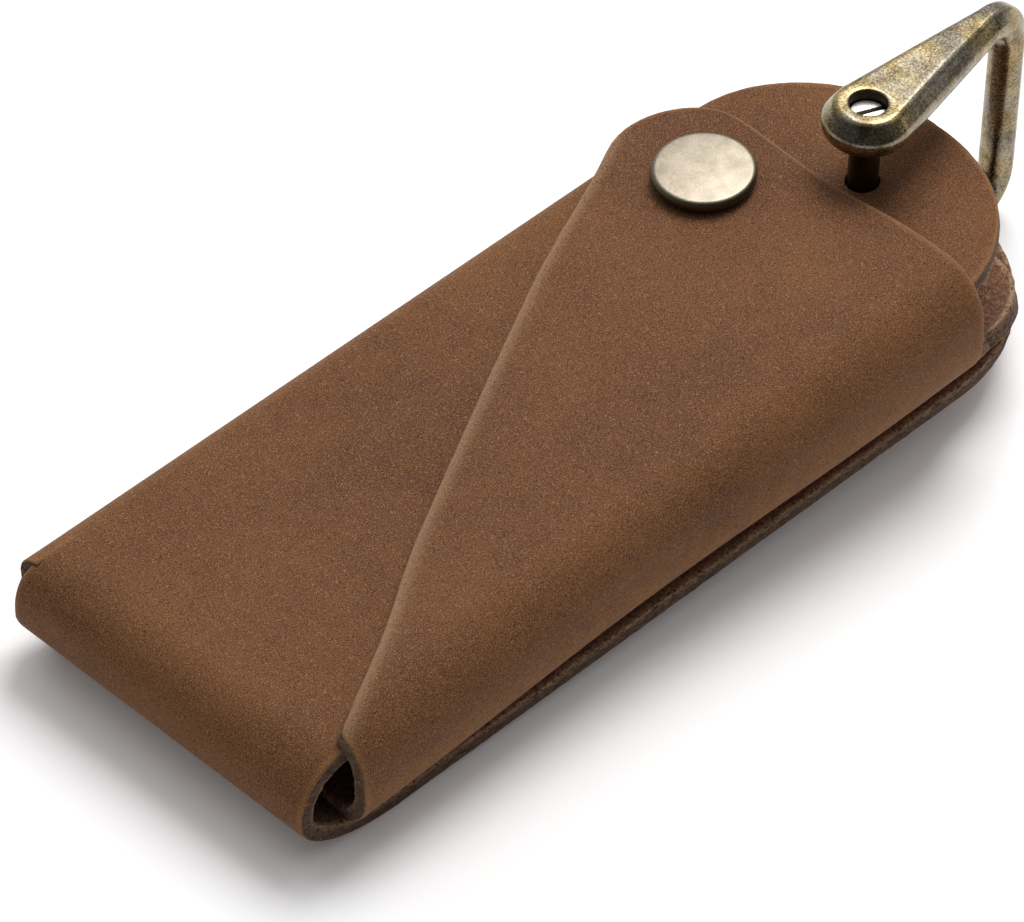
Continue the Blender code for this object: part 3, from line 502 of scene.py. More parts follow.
def flapSurface():
    # the rest of the front heel, the front side and shoulder, and the flap with its round tip
    radius = flapShape["tipRadius"] - cut
    tip = np.array([pin - flapShape["tipBack"], flapShape["tipSide"]])
    foldT = np.concatenate([[seamT(), seamT() + 0.01], np.linspace(seamT(), 6, cells(5, 0.6))[1:],
                            np.linspace(6, 7, cells(4, 0.6))[1:], np.linspace(7, 8, cells(10.5, 0.6))[1:]])

    def arcAt(first, last):
        angle = np.radians(np.linspace(first, last, 60))
        return tip + radius * np.stack([np.cos(angle), np.sin(angle)], 1)

    def toT(xy):
        return np.stack([xy[:, 0], 8 + (xy[:, 1] - hingeY(xy[:, 0])) / 10], 1)

    lowCorner, highCorner = flapShape["tipCorners"]
    rightY = section(pin, foldT)[:, 1]
    corner = caseShape["middleCorner"] - cut
    heel = np.linspace(seamT(), 6, 400)
    dense = section(pin, heel)[:, 1:]
    walk = np.concatenate([[0], np.cumsum(np.linalg.norm(np.diff(dense, axis=0), axis=1))])
    over = smooth(np.interp(foldT, heel, walk) / flapShape["neck"])
    start = pin + caseShape["middleReach"] - cut - corner
    rightX = start + (flapEndX(rightY) - start) * over
    leftX = np.maximum(0, slantX(section(0.0, foldT)[:, 1]))
    leftX = np.where(foldT > 7, np.maximum(0, slantX(section(leftX, foldT)[:, 1])), 0)
    hingeLeft = np.array([[leftX[-1], hingeY(leftX[-1])]])
    hingeRight = np.array([[rightX[-1], hingeY(rightX[-1])]])
    slant, endSlant = math.degrees(flapShape["slant"]), math.degrees(flapShape["endSlant"])
    leftArc, rightArc = arcAt(90 + slant, highCorner), arcAt(-endSlant, lowCorner)
    leftY = np.linspace(hingeLeft[0, 1], leftArc[0, 1], 80)[1:-1]
    endY = np.linspace(hingeRight[0, 1], rightArc[0, 1], 80)[1:-1]
    leftPath = np.concatenate([hingeLeft, np.stack([slantX(leftY), leftY], 1), leftArc])
    rightPath = np.concatenate([hingeRight, np.stack([flapEndX(endY), endY], 1), rightArc])
    lines = cells(np.linalg.norm(np.diff(rightPath, axis=0), axis=1).sum(), 0.6)
    left = np.concatenate([np.stack([leftX, foldT], 1), toT(spread(leftPath, lines))[1:]])
    right = np.concatenate([np.stack([rightX, foldT], 1), toT(spread(rightPath, lines))[1:]])
    rows = cells(right[0, 0] - left[0, 0])
    bottom = np.stack([np.linspace(left[0, 0], right[0, 0], rows), np.full(rows, foldT[0])], 1)
    top = toT(spread(arcAt(highCorner, lowCorner), rows))
    grid = coons(bottom, top, left, right, (0.1, 0.3))
    place = section(grid[..., 0], grid[..., 1])
    x, y = place[..., 0], place[..., 1]

    # the flap lies low along its long edge and at its tip, and stays up where the snap holds it
    inward = (x - slantX(y)) * math.sin(flapShape["slant"])
    fromHinge = y - hingeY(x)
    snapNear = np.exp(-(np.hypot(x - pin + snapShape["back"], y - snapShape["side"]) / 8.5) ** 4)
    drop = (flapShape["lift"] - flapShape["edgeLift"]) * (1 - smooth(inward / 13)) * smooth(fromHinge / 7)
    place[..., 2] -= drop * (1 - 0.8 * snapNear)
    place[..., 2] += (ripple(x, y, 30, 5) * 0.08 - 0.1 * snapNear) * smooth(fromHinge / 4)
    curlStart, curlGrowth, curlFade = flapShape["curlFrom"]
    curl = smooth((x - curlStart) / curlGrowth) * smooth((grid[..., 1] - 6) / 1.5)
    place[..., 2] += flapShape["endLift"] * curl * np.exp(-(np.maximum(fromHinge, 0) / curlFade) ** 2)
    pastSide, sideMiddle = 7.2, 6.6     # as t of section: on the front shoulder and on the front side
    worn = np.exp(-(inward / flapShape["wornEdge"]) ** 2) * (grid[..., 1] > pastSide)
    side = np.clip(1 - np.abs(grid[..., 1] - sideMiddle), 0, 1)
    place[..., 1] += ripple(x, 4 * grid[..., 1], 26, 11) * 0.3 * side * smooth(x / 10)
    seam = np.zeros(grid.shape[:2])
    seam[:, 0] = 1
    return place.reshape(-1, 3), facing(place, (0, 0, 1), (rows // 2, grid.shape[1] - 8)), {
        "bend": bendMark(grid[..., 1]).ravel(), "worn": worn.ravel(), "seam": seam.ravel()}


# Snap, shackle and pin: turned and swept metal

snapShape = {"back": 14.4, "side": 10.3, "capRadius": 6.25, "capHeight": 1.7, "capCrown": 0.15,
             "capRounding": 0.65, "capShell": 0.4, "washerRadius": 4.5, "washerThickness": 0.3,
             "postRadius": 1.5, "postBore": 0.9, "postFlare": 2.1, "socketRadius": 4.8, "socketBody": 3.9,
             "socketCavity": 3.2, "socketLip": 2.65, "socketHeight": 1.7, "socketRoof": 0.3,
             "springWire": 0.22, "springRadius": 2.9, "springSplit": math.radians(32), "studRadius": 4.6,
             "studFlange": 0.5, "studBall": 2.3, "studHeight": 1.0, "studBore": 1.6, "eyeletRadius": 4.4,
             "eyeletTube": 1.3, "eyeletBore": 0.8, "eyeletFlange": 0.5, "gap": 0.3, "holeGap": 0.4}
pinShape = {"radius": 1.85, "headRadius": 2.15, "headHeight": 1.6, "headRecess": 1.4, "threadRadius": 1.6,
            "clearance": 0.15, "endRecess": 0.4, "chamfer": 0.3, "headChamfer": 0.12, "slotWidth": 0.7,
            "slotDepth": 0.5, "slotTurn": math.radians(-21), "threadPitch": 0.6, "threadDepth": 0.16}

wedge = math.atan((caseShape["tabHeight"] - 2 * caseShape["noseRadius"]) / pin)
snapFoot = np.array([pin - snapShape["back"], snapShape["side"], topHeight(pin - snapShape["back"])])


def soften(profile, radius=0.12, closed=False):
    # cuts each corner of a profile with a short parabola, so that metal has no knife edges
    points = [np.array(point, float) for point in profile]
    count, result = len(points), []
    for i, point in enumerate(points):
        if not closed and i in (0, count - 1):
            result.append(point)
            continue
        back, ahead = points[i - 1] - point, points[(i + 1) % count] - point
        reach = min(radius, 0.4 * np.linalg.norm(back), 0.4 * np.linalg.norm(ahead))
        first = point + back / np.linalg.norm(back) * reach
        last = point + ahead / np.linalg.norm(ahead) * reach
        result += [(1 - s) ** 2 * first + 2 * s * (1 - s) * point + s * s * last for s in (0, 0.33, 0.67, 1)]
    return np.array(result)


def arc(centre, radius, start, end, steps):
    angle = np.radians(np.linspace(start, end, steps + 1))
    return [(centre[0] + radius * math.cos(a), centre[1] + radius * math.sin(a)) for a in angle]


def turned(name, profile, place, closed=False, steps=96, marks=None):
    # turns a profile of (radius, height), outer side downwards, round an axis that place puts in the world
    profile = np.asarray(profile, float)
    poles = [k for k in (0, len(profile) - 1) if profile[k, 0] < 1e-6]
    rings = np.delete(profile, poles, 0)
    angle = np.linspace(0, math.tau, steps, endpoint=False)[None]
    grid = np.stack([rings[:, :1] * np.cos(angle), rings[:, :1] * np.sin(angle),
                     rings[:, 1:] * np.ones_like(angle)], -1)
    points = [grid.reshape(-1, 3)]
    quads = gridQuads(len(rings), steps, True)
    lastRing = np.arange(steps) + (len(rings) - 1) * steps
    if closed:
        ring = np.arange(steps)
        bridge = np.stack([lastRing, np.roll(lastRing, -1), np.roll(ring, -1), ring], 1)
        quads = np.concatenate([quads, bridge])
    lists = [quads[:, ::-1]]
    values = [] if marks is None else [np.repeat(np.delete(marks, poles), steps)]
    for pole in poles:
        points.append(np.array([[0.0, 0.0, profile[pole, 1]]]))
        ring = np.arange(steps) if pole == 0 else lastRing
        apex = np.full(steps, sum(len(part) for part in points) - 1)
        fan = np.stack([apex, ring, np.roll(ring, -1)], 1)
        lists.append(fan if pole == 0 else fan[:, ::-1])
        if marks is not None:
            values.append([marks[pole]])
    return makeObject(name, place(np.concatenate(points)), lists,
                      {"side": np.concatenate(values)} if values else None)


def onSnap(points):
    # the snap's axis stands square on the top panel, which rises by the wedge
    x, z = points[:, 0], points[:, 2]
    tilted = np.stack([x * math.cos(wedge) - z * math.sin(wedge), points[:, 1],
                       x * math.sin(wedge) + z * math.cos(wedge)], 1)
    return toWorld(tilted + snapFoot)


def onPin(points):
    return points + np.array([pinX, pinY, 0.0])


def makeSnap():
    s = snapShape
    base = flapShape["lift"] + caseShape["hide"] + s["gap"]
    top = base + s["capHeight"]
    edge = top - s["capCrown"]
    face, rounding = s["capRadius"] - s["capRounding"], s["capRounding"]
    inner = s["capRadius"] - s["capShell"]
    roof, curl = edge - s["capShell"], base + s["capShell"]
    dome = [(face * k / 8, top - s["capCrown"] * (k / 8) ** 2) for k in range(8)]
    outside = dome + arc((face, edge - rounding), rounding, 90, 0, 10)
    lip = s["washerRadius"] - s["gap"]
    inside = soften([outside[-1], (s["capRadius"], curl), (inner, base), (lip, base),
                     (lip, curl - s["capShell"] / 2), (inner, curl), (inner, roof), (0, roof)])[1:]
    profile = np.concatenate([outside, inside])
    side = np.clip((profile[:, 0] - face - 0.1) / 0.45, 0, 1)
    side[len(outside):] = 1
    cap = turned("snap_cap_shell", profile, onSnap, marks=side, steps=160)

    socketTop = s["gap"] + s["socketHeight"]
    flareTop = socketTop - s["socketRoof"] - s["gap"] / 2
    washerTop = roof - s["gap"]
    washerLow = washerTop - s["washerThickness"]
    post = turned("snap_post_shank", soften([
        (s["postBore"], washerTop), (s["washerRadius"], washerTop), (s["washerRadius"], washerLow),
        (s["postRadius"], washerLow), (s["postRadius"], flareTop + s["gap"] / 2), (s["postFlare"], flareTop),
        (s["postFlare"], flareTop - s["gap"] / 2), (s["postBore"], flareTop - s["gap"] / 2)], closed=True),
        onSnap, closed=True)

    roofHole, roofLow = s["postRadius"] + s["gap"], socketTop - s["socketRoof"]
    waist, lipTop = socketTop - 2 * s["socketRoof"], s["gap"] + s["socketRoof"] / 2
    socket = turned("snap_socket_cup", soften([
        (roofHole, socketTop), (s["socketRadius"], socketTop), (s["socketRadius"], roofLow),
        (s["socketBody"], waist), (s["socketBody"], lipTop), (s["socketCavity"], s["gap"]),
        (s["socketLip"], s["gap"]), (s["socketLip"], lipTop), (s["socketCavity"], lipTop),
        (s["socketCavity"], roofLow), (roofHole, roofLow)], closed=True), onSnap, closed=True)

    # spring: a split ring of round wire
    turn = np.linspace(s["springSplit"] / 2, math.tau - s["springSplit"] / 2, 90)[:, None]
    tube = np.linspace(0, math.tau, 16, endpoint=False)[None]
    radius = s["springRadius"] + s["springWire"] * np.cos(tube)
    height = (lipTop + roofLow) / 2 + s["springWire"] * np.sin(tube)
    wire = np.stack([radius * np.cos(turn), radius * np.sin(turn), height * np.ones_like(turn)], -1)
    count, ring = 90 * 16, np.arange(16)
    ends = np.stack([wire[0].mean(0), wire[-1].mean(0)])
    caps = [np.stack([np.full(16, count), np.roll(ring, -1), ring], 1),
            np.stack([np.full(16, count + 1), ring + count - 16, np.roll(ring, -1) + count - 16], 1)]
    spring = makeObject("snap_spring_ring", onSnap(np.concatenate([wire.reshape(-1, 3), ends])),
                        [gridQuads(90, 16, True)] + caps)

    flangeTop, neck = -caseShape["layerGap"] / 3, s["studBall"] - s["gap"]
    stud = turned("snap_stud_ball", soften([
        (s["studBore"], s["studHeight"]), (neck, s["studHeight"]), (s["studBall"], s["studHeight"] * 2 / 3),
        (neck, s["studHeight"] / 3), (neck, flangeTop), (s["studRadius"], flangeTop),
        (s["studRadius"], flangeTop - s["studFlange"] / 2),
        (s["studRadius"] - s["studFlange"] / 2, -s["studFlange"]), (s["studBore"], -s["studFlange"])],
        radius=0.2, closed=True), onSnap, closed=True)

    under, tubeTop = -caseShape["hide"] - caseShape["layerGap"], s["studHeight"] - s["gap"] / 2
    eyelet = turned("snap_eyelet_ring", soften([
        (s["eyeletBore"], tubeTop), (s["eyeletTube"], tubeTop), (s["eyeletTube"], under),
        (s["eyeletRadius"], under), (s["eyeletRadius"], under - s["eyeletFlange"] / 2),
        (s["eyeletRadius"] - s["eyeletFlange"] / 2, under - s["eyeletFlange"]),
        (s["eyeletBore"], under - s["eyeletFlange"])], closed=True), onSnap, closed=True)
    return cap, post, socket, spring, stud, eyelet


def facePlaces(piece):
    # the middle of each face: its distance from the pin's axis and its height
    centres = np.empty(len(piece.data.polygons) * 3, np.float32)
    piece.data.polygons.foreach_get("center", centres)
    centres = centres.reshape(-1, 3) / mm
    return np.hypot(centres[:, 0] - pinX, centres[:, 1] - pinY), centres[:, 2]


def makeShackle():
    # The loop as rings along its path: round eye, tapering arm, bend, bow and the same mirrored. A ring has
    # facets on its outer side and is rounder inside; in the eye it is cut off by the eye's own circle.
    # The second value is 1 on the walls of the bores, which take the darker brass as painted shade in the
    # holes.
    s = shackleShape
    eye, bow, thickEnd = s["eyeRadius"], s["bowRadius"], s["armThickness"] / 2
    straight, level = s["bowReach"] - s["bendRadius"], s["armSpacing"] / 2
    eyeX = -eye * np.cos(np.linspace(0, math.pi / 2, 40)[1:])
    armX = np.linspace(0, straight, 64)[1:-1]
    bend = np.linspace(0, math.pi / 2, 22)
    x = np.concatenate([eyeX, armX, np.full(len(bend) + 9, straight)])
    turn = np.concatenate([np.zeros(len(eyeX) + len(armX)), bend, np.full(9, math.pi / 2)])
    pathX = np.concatenate([eyeX, armX, straight + s["bendRadius"] * np.sin(bend), np.full(9, s["bowReach"])])
    drop = np.linspace(level - s["bendRadius"], 0, 10)[1:]
    pathZ = np.concatenate([np.full(len(eyeX) + len(armX), level),
                            level - s["bendRadius"] * (1 - np.cos(bend)), drop])
    taper = math.asin((eye - bow) / straight)
    width = np.where(x > eye * math.sin(taper), (eye - x * math.sin(taper)) / math.cos(taper), eye)
    thick = thickEnd + (bow - thickEnd) * np.maximum(0, x - s["flatReach"]) / (straight - s["flatReach"])
    width = np.maximum(width, thick)
    flat = width - thick
    angle = np.linspace(0, math.pi / 2, 60)
    innerHalf = np.stack([np.cos(angle), np.sin(angle)], 1) ** (2 / s["innerPower"])
    share, halves = np.linspace(0, 1, s["halfPoints"]), []
    for path in (soften(s["outerFacets"], s["facetRounding"]), innerHalf):
        path = spread(path, s["halfPoints"])
        limit = np.interp(-np.clip((-x - flat) / thick, 0, 1), -path[:, 0], share)[:, None]
        halves.append([np.interp(limit * share, share, path[:, k]) for k in (0, 1)])
    outer, inner = halves
    reach = flat[:, None] + thick[:, None] * np.concatenate([inner[0][:, ::-1], outer[0][:, 1:]], 1)
    rise = thick[:, None] * np.concatenate([-inner[1][:, ::-1], outer[1][:, 1:]], 1)
    side = np.where(x[:, None] < 0, np.sqrt(np.maximum(0, reach ** 2 - x[:, None] ** 2)), reach)
    side, rise = np.concatenate([side, -side[:, ::-1]], 1), np.concatenate([rise, rise[:, ::-1]], 1)
    upper = np.stack([pathX[:, None] + rise * np.sin(turn)[:, None], side,
                      pathZ[:, None] + rise * np.cos(turn)[:, None]], -1)
    rings = np.concatenate([upper, upper[::-1][1:] * [1, 1, -1]])
    rows, columns = rings.shape[:2]
    points = np.concatenate([rings.reshape(-1, 3), [[-eye, 0, level], [-eye, 0, -level]]])
    ring = np.arange(columns)
    fans = [np.stack([np.full(columns, rows * columns), np.roll(ring, -1), ring], 1),
            np.stack([np.full(columns, rows * columns + 1), ring + (rows - 1) * columns,
                      np.roll(ring, -1) + (rows - 1) * columns], 1)]
    c, d = math.cos(s["turn"]), math.sin(s["turn"])
    world = np.stack([pinX + points[:, 0] * c - points[:, 1] * d, pinY + points[:, 0] * d + points[:, 1] * c,
                      points[:, 2] + level + thickEnd], 1)
    piece = makeObject("brass_shackle", world, [gridQuads(rows, columns, True)] + fans)

    top = s["armSpacing"] + s["armThickness"]
    seat = top - pinShape["headRecess"] - pinShape["headHeight"] - caseShape["layerGap"]
    head, shaft = pinShape["headRadius"] + pinShape["clearance"], pinShape["radius"] + pinShape["clearance"]
    thread, r = pinShape["threadRadius"] + pinShape["clearance"], s["rimRounding"]
    rim = [(head + r - r * math.cos(a), top - r + r * math.sin(a))
           for a in np.radians([90, 67, 45, 22, 0])]
    upperHole = [(0, top + 1), (head + r, top + 1)] + rim + [(head, seat), (shaft, seat),
                                                             (shaft, level + thickEnd), (0, level + thickEnd)]
    lowerHole = [(0, level), (thread, level), (thread, r), (thread + 0.3 * r, 0.3 * r), (thread + r, -0.01),
                 (thread + r, -1), (0, -1)]
    cutters = [turned("hole", upperHole, onPin, steps=72), turned("hole", lowerHole, onPin, steps=72)]
    piece = cutAway(piece, cutters)
    fromAxis, height = facePlaces(piece)
    return piece, ((fromAxis < head + 0.03) & (height < top - r)).astype(np.int32)


def makePin():
    # The screw, with grooves for its thread and a slot cut across its head. The second value is 1 on the
    # head's polished faces and 0 on the rest and in the slot, which get the darker brass: the shaft's dark
    # finish deepened with painted shade, and painted shade in the slot.
    s = pinShape
    top = shackleShape["armSpacing"] + shackleShape["armThickness"] - s["headRecess"]
    seat, c = top - s["headHeight"], s["chamfer"]
    shoulder = shackleShape["armThickness"] + caseShape["layerGap"]
    threads = int((shoulder - 1.4 - s["endRecess"]) / s["threadPitch"])
    crests = shoulder - 0.5 - s["threadPitch"] * np.arange(threads)
    thread = np.stack([np.stack([np.full(threads, s["threadRadius"]), crests], 1),
                       np.stack([np.full(threads, s["threadRadius"] - s["threadDepth"]),
                                 crests - s["threadPitch"] / 2], 1)], 1).reshape(-1, 2)
    edge = s["headChamfer"]
    profile = [(0, top), (s["headRadius"] - edge, top), (s["headRadius"], top - edge),
               (s["headRadius"], seat), (s["radius"], seat), (s["radius"], shoulder),
               (s["threadRadius"], shoulder), *thread, (s["threadRadius"], s["endRecess"] + c),
               (s["threadRadius"] - c, s["endRecess"]), (0, s["endRecess"])]
    piece = turned("slotted_pin", soften(profile, 0.06), onPin, steps=72)
    x, y, z = 3 * s["headRadius"], s["slotWidth"] / 2, s["slotDepth"]
    corners = np.array([(i * x, j * y, k * z) for i in (-1, 1) for j in (-1, 1) for k in (-1, 1)])
    turnC, turnS = math.cos(s["slotTurn"]), math.sin(s["slotTurn"])
    corners = np.stack([corners[:, 0] * turnC - corners[:, 1] * turnS,
                        corners[:, 0] * turnS + corners[:, 1] * turnC, corners[:, 2] + top], 1)
    sides = np.array([(0, 1, 3, 2), (4, 6, 7, 5), (0, 4, 5, 1), (2, 3, 7, 6), (0, 2, 6, 4), (1, 5, 7, 3)])
    piece = cutAway(piece, [makeObject("slot", onPin(corners), [sides])])
    fromAxis, height = facePlaces(piece)
    inSlot = (height < top - 0.05) & (fromAxis < s["headRadius"] - 0.25)
    return piece, ((height > seat + 0.02) & ~inSlot).astype(np.int32)


def plug(radius, low, high, place):
    return turned("hole", [(0, high), (radius, high), (radius, low), (0, low)], place, steps=72)


def makeLeather(name, surface, seed, holes, materials):
    # one hide from its surface; its holes show the cut edge's material
    shell = thicken(*surface, caseShape["hide"], cut, caseShape["ragged"], seed)
    piece = makeObject(name, toWorld(shell[0]), [shell[1]], shell[2], shell[3])
    for part in [piece] + holes:
        for material in materials:
            part.data.materials.append(material)
    for hole in holes:
        hole.data.polygons.foreach_set("material_index", np.full(len(hole.data.polygons), 2, dtype=np.int32))
    return cutAway(piece, holes)


# Materials

def toLinear(colour):
    # sRGB hex to a linear colour
    parts = [int(colour[i:i + 2], 16) / 255 for i in (1, 3, 5)]
    return tuple(c / 12.92 if c <= 0.04045 else ((c + 0.055) / 1.055) ** 2.4 for c in parts) + (1.0,)


def addNode(tree, kind, values=None, links=None, **settings):
    # adds a node, sets its properties and its sockets' values, and links outputs into its sockets
    node = tree.nodes.new(kind)
    for label, value in settings.items():
        setattr(node, label, value)
    for socket, value in (values or {}).items():
        node.inputs[socket].default_value = value
    for socket, source in (links or {}).items():
        tree.links.new(source, node.inputs[socket])
    return node


def newMaterial(name, **sockets):
    material = bpy.data.materials.new(name)
    material.use_nodes = True
    tree = material.node_tree
    shader = tree.nodes["Principled BSDF"]
    for socket, value in sockets.items():
        shader.inputs[socket.replace("_", " ")].default_value = value
    return material, tree, shader, tree.nodes.new("ShaderNodeTexCoord").outputs["Object"]


def noise(tree, vector, size, detail=3.0, roughness=0.5, distortion=0.0):
    # noise whose patches are about the given size in millimetres
    return addNode(tree, "ShaderNodeTexNoise", {"Scale": 1 / (size * mm), "Detail": detail,
                                                "Roughness": roughness, "Distortion": distortion},
                   {"Vector": vector}).outputs[0]


def remap(tree, value, low, high, most=1.0, least=0.0):
    # least at low and most at high
    return addNode(tree, "ShaderNodeMapRange", {"From Min": low, "From Max": high, "To Min": least,
                                                "To Max": most}, {"Value": value}).outputs[0]


def blendColour(tree, share, first, second):
    # first and second are hex strings or sockets
    values, links = {}, {0: share}
    for socket, colour in ((6, first), (7, second)):
        if isinstance(colour, str):
            values[socket] = toLinear(colour)
        else:
            links[socket] = colour
    return addNode(tree, "ShaderNodeMix", values, links, data_type="RGBA").outputs[2]


def calc(tree, operation, first, second):
    values, links = {}, {}
    for socket, value in ((0, first), (1, second)):
        (values if isinstance(value, (int, float)) else links)[socket] = value
    return addNode(tree, "ShaderNodeMath", values, links, operation=operation).outputs[0]


def addBump(tree, shader, height, strength, depth):
    bump = addNode(tree, "ShaderNodeBump", {"Strength": strength, "Distance": depth * mm}, {"Height": height})
    tree.links.new(bump.outputs[0], shader.inputs["Normal"])


# colours, then the size of each pattern in millimetres; grain and speck are drawn coarser than real nap
nubuckLook = {"deep": "#5a361f", "warm": "#704728", "tan": "#86582c", "pale": "#a0744c", "pit": "#2c170e",
              "worn": "#96765a", "cloud": 26.0, "mottle": 3.2, "grain": 0.21, "speck": 0.14,
              "roughness": 0.78}


def waxedNubuck():
    # Waxed nubuck, buffed cowhide: matt and dry, with fine dark pores and pale nap, paler where it bends
    # and along the cut edges, and rubbed to a pale grey-brown along the flap's long edge
    s = nubuckLook
    material, tree, shader, coords = newMaterial("waxed_nubuck", Roughness=s["roughness"], Sheen_Weight=0.07,
                                                 Sheen_Roughness=0.5, Specular_IOR_Level=0.2)
    cloud, mottle = noise(tree, coords, s["cloud"]), noise(tree, coords, s["mottle"], 4.0, 0.6)
    grain, speck = noise(tree, coords, s["grain"], 3.0, 0.65), noise(tree, coords, s["speck"], 1.0)
    bend = addNode(tree, "ShaderNodeAttribute", attribute_name="bend").outputs["Fac"]
    rim = addNode(tree, "ShaderNodeAttribute", attribute_name="rim").outputs["Fac"]
    colour = blendColour(tree, remap(tree, cloud, 0.35, 0.65), s["deep"], s["warm"])
    colour = blendColour(tree, remap(tree, mottle, 0.42, 0.72, 0.4), colour, s["warm"])
    pulled = remap(tree, calc(tree, "MULTIPLY", bend, mottle), 0.05, 0.6, 0.85)
    colour = blendColour(tree, pulled, colour, s["tan"])
    colour = blendColour(tree, remap(tree, grain, 0.49, 0.34, 0.9), colour, s["pit"])
    colour = blendColour(tree, remap(tree, speck, 0.53, 0.7, 0.9), colour, s["pale"])
    colour = blendColour(tree, calc(tree, "MULTIPLY", rim, 0.3), colour, s["pale"])
    worn = addNode(tree, "ShaderNodeAttribute", attribute_name="worn").outputs["Fac"]
    fuzz = calc(tree, "MULTIPLY", worn, remap(tree, grain, 0.35, 0.6, 0.85, 0.2))
    colour = blendColour(tree, fuzz, colour, s["worn"])
    tree.links.new(colour, shader.inputs["Base Color"])
    addBump(tree, shader, calc(tree, "ADD", grain, speck), 0.5, 0.09)
    return material


def rawHide(name, dark, middle, pale, stretch, size):
    # Hide that was split or cut and never buffed: matt, tangled fibres that catch the light, cracks
    # between, and pale loose ends along the rim of the flesh side
    material, tree, shader, coords = newMaterial(name, Roughness=0.9, Sheen_Weight=0.1,
                                                 Specular_IOR_Level=0.2)
    mapped = addNode(tree, "ShaderNodeMapping", {"Scale": stretch}, {"Vector": coords}).outputs[0]
    fibre = noise(tree, mapped, size, 5.0, 0.7, 0.8)
    crack = addNode(tree, "ShaderNodeTexVoronoi", {"Scale": 1 / (2.2 * size * mm)}, {"Vector": mapped},
                    feature="DISTANCE_TO_EDGE").outputs["Distance"]
    colour = blendColour(tree, remap(tree, fibre, 0.4, 0.62), dark, middle)
    colour = blendColour(tree, remap(tree, fibre, 0.6, 0.72, 0.8), colour, pale)
    colour = blendColour(tree, remap(tree, crack, 0.07, 0.0, 0.6), colour, dark)
    rim = addNode(tree, "ShaderNodeAttribute", attribute_name="rim").outputs["Fac"]
    depth = addNode(tree, "ShaderNodeAttribute", attribute_name="depth").outputs["Fac"]
    fuzz = calc(tree, "MULTIPLY", calc(tree, "MULTIPLY", rim, remap(tree, depth, 0.6, 1.0)),
                remap(tree, fibre, 0.4, 0.56, 0.8))
    colour = blendColour(tree, fuzz, colour, pale)
    tree.links.new(colour, shader.inputs["Base Color"])
    addBump(tree, shader, fibre, 0.9, 0.35)
    return material


def metal(name, light, dark, roughness, patch, wear, dents, side=None, tarnish=None):
    # Brass or plated brass, tumbled in a drum: cloudy patina over bright metal, with small dents and
    # specks. tarnish greys it in wide patches, and side darkens the faces marked so.
    material, tree, shader, coords = newMaterial(name, Metallic=1.0)
    cloud, grit = noise(tree, coords, patch, 6.0, 0.62), noise(tree, coords, patch / 9, 3.0, 0.7)
    share = remap(tree, calc(tree, "MULTIPLY", grit, cloud), 0.34, 0.16, wear)
    if tarnish:
        stain = remap(tree, noise(tree, coords, 2 * patch), 0.42, 0.6, 0.85)
        light = blendColour(tree, stain, light, tarnish)
    colour = blendColour(tree, share, light, dark)
    if side:
        mark = addNode(tree, "ShaderNodeAttribute", attribute_name="side").outputs["Fac"]
        colour = blendColour(tree, mark, colour, side)
    tree.links.new(colour, shader.inputs["Base Color"])
    tree.links.new(remap(tree, grit, 0.3, 0.7, roughness + 0.1, roughness - 0.07), shader.inputs["Roughness"])
    addBump(tree, shader, cloud, 0.6, dents)
    return material


def dress(piece, materials, body, slot, *nodes):
    piece.data.materials.clear()
    for material in materials:
        piece.data.materials.append(material)
    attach(piece, body)
    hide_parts(*nodes)


# The pieces, made and dressed

snap = snapShape
# the case's cut rims and holes use a darker copy of the flap's cut-edge hide below: painted shade for rims
# that lie in shadow under the folds and the overhang
hides = [waxedNubuck(), rawHide("split_hide", "#5c3b2a", "#9a6f54", "#bd9a7b", (1.0, 1.0, 1.0), 0.5),
         rawHide("cut_edge_painted_shade", "#3a281d", "#70523a", "#a98a6a", (0.35, 0.35, 1.0), 0.3)]
flapHides = hides[:2] + [rawHide("cut_edge", "#4a3526", "#7d6048", "#b3936f", (0.35, 0.35, 1.0), 0.3)]
caseLeather = makeLeather("case_leather", wrapSurface(), 1, [
    plug(caseShape["pinHole"], -1.0, 40.0, onPin),
    plug(snap["eyeletTube"] + snap["holeGap"], -caseShape["hide"] - 1, 1, onSnap),
    plug(snap["studRadius"] + snap["gap"], -snap["studFlange"] - caseShape["layerGap"], 1, onSnap)], hides)
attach(caseLeather, "case")
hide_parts("leather_wrap")

flapLeather = makeLeather("flap_leather", flapSurface(), 2, [
    plug(snap["postRadius"] + snap["holeGap"], 0.5, flapShape["lift"] + caseShape["hide"] + 1, onSnap),
    plug(snap["socketRadius"] + snap["gap"], 0.0, 2 * snap["gap"] + snap["socketHeight"], onSnap)], flapHides)
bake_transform(flapLeather)
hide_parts("leather_flap")
print("leather made:", len(caseLeather.data.polygons), "and", len(flapLeather.data.polygons), "faces")

nickel = metal("nickel_plated_brass", "#c9c4b8", "#8d8778", 0.3, 1.6, 0.5, 0.01)
capMetal = metal("satin_plated_brass", "#978d7e", "#665f50", 0.38, 2.2, 0.6, 0.012, side="#54503f")
cap, post, socket, spring, stud, eyelet = makeSnap()
dress(cap, [capMetal], "flap", "pale_brass", "snap_cap")
dress(post, [nickel], "flap", "nickel", "snap_post")
dress(socket, [nickel], "flap", "nickel", "snap_socket")
dress(spring, [nickel], "flap", "nickel", "snap_spring")
dress(stud, [nickel], "case", "nickel", "snap_stud")
dress(eyelet, [nickel], "case", "nickel", "snap_eyelet")
print("snap made")

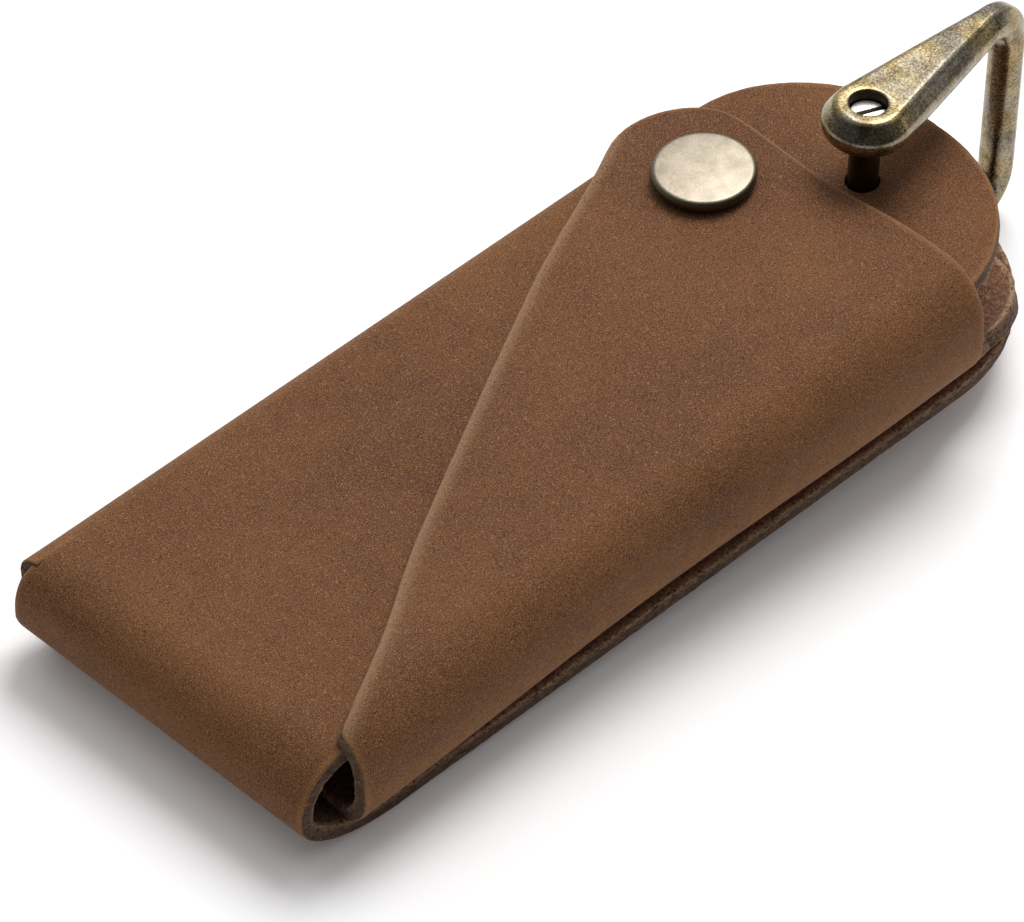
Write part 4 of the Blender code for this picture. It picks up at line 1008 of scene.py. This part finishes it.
# darker brass: on the pin's shaft its dark finish is deepened with painted shade under the arm; on the pin's
# slot and the shackle's bores it is painted shade
darkBrassAndShade = metal("dark_brass_and_painted_shade", "#5a4c3c", "#2b241c", 0.36, 1.5, 0.5, 0.01)
shackle, boreFaces = makeShackle()
dress(shackle, [metal("tumbled_antique_brass", "#b09c70", "#3a3126", 0.25, 2.4, 0.85, 0.018,
                      tarnish="#8f8a80"), darkBrassAndShade], "shackle", "aged_brass", "shackle")
shackle.data.polygons.foreach_set("material_index", boreFaces)
slottedPin, headFaces = makePin()
dress(slottedPin, [darkBrassAndShade, metal("bright_nickel_plate", "#e6e4de", "#c4c0b7", 0.3, 1.2, 0.3, 0.003)],
      "pin", "dark_brass", "shackle_pin")
slottedPin.data.polygons.foreach_set("material_index", headFaces)
print("shackle and pin made")


# Stage, light and camera

stageLook = {"floorSize": 3000.0, "floor": "#fdfcfc", "floorGlow": 0.06, "sky": (0.1, 0.95, 1.0, 0.1)}


def makeFloor():
    side = stageLook["floorSize"] / 2
    corners = np.array([(-side, -side, 0), (side, -side, 0), (side, side, 0), (-side, side, 0)], float)
    floor = makeObject("floor", corners, [np.array([[0, 1, 2, 3]])])
    material, tree, shader, _ = newMaterial("white_board", Roughness=0.9, Specular_IOR_Level=0.0)
    shader.inputs["Base Color"].default_value = toLinear(stageLook["floor"])
    shader.inputs["Emission Color"].default_value = (1, 1, 1, 1)
    path = tree.nodes.new("ShaderNodeLightPath")
    seen = calc(tree, "MAXIMUM", path.outputs["Is Camera Ray"], path.outputs["Is Glossy Ray"])
    tree.links.new(calc(tree, "MULTIPLY", seen, stageLook["floorGlow"]), shader.inputs["Emission Strength"])
    floor.data.materials.append(material)


def makeWorld():
    # white to the camera; to everything else a sky that is bright behind the object and dim in front
    world = bpy.data.worlds.new("studio")
    bpy.context.scene.world = world
    world.use_nodes = True
    tree = world.node_tree
    coords = tree.nodes.new("ShaderNodeTexCoord").outputs["Generated"]
    away = addNode(tree, "ShaderNodeVectorMath", {1: (0.5, 0.5, 0.71)}, {0: coords},
                   operation="DOT_PRODUCT").outputs["Value"]
    share = remap(tree, away, *stageLook["sky"])
    path = tree.nodes.new("ShaderNodeLightPath")
    strength = addNode(tree, "ShaderNodeMix", {3: 1.0},
                       {0: path.outputs["Is Camera Ray"], 2: share}).outputs[0]
    background = tree.nodes["Background"]
    background.inputs["Color"].default_value = (1, 1, 1, 1)
    tree.links.new(strength, background.inputs["Strength"])


def addLamp(name, place, target, size, power):
    lamp = bpy.data.lights.new(name, "AREA")
    lamp.shape, lamp.size, lamp.size_y, lamp.energy = "RECTANGLE", size[0], size[1], power
    holder = bpy.data.objects.new(name, lamp)
    holder.location = place
    holder.rotation_euler = (Vector(target) - Vector(place)).to_track_quat("-Z", "Y").to_euler()
    bpy.context.scene.collection.objects.link(holder)


def makeCamera():
    camera = bpy.data.cameras.new("camera")
    camera.sensor_width, camera.lens = 36.0, 246.09375
    camera.clip_start, camera.clip_end = 0.01, 20.0
    camera.dof.use_dof = False
    holder = bpy.data.objects.new("camera", camera)
    holder.location = (-0.43052, -0.40969, 0.55637)
    holder.rotation_euler = [math.radians(angle) for angle in (46.9507, -1.3294, -44.0864)]
    bpy.context.scene.collection.objects.link(holder)
    bpy.context.scene.camera = holder


makeFloor()
makeWorld()
addLamp("overhead_softbox", (0.32, 0.14, 0.62), (0.0, 0.0, 0.0), (0.38, 0.38), 3.8)
makeCamera()
bpy.context.scene.view_settings.view_transform = "Standard"
print("stage, light and camera made")
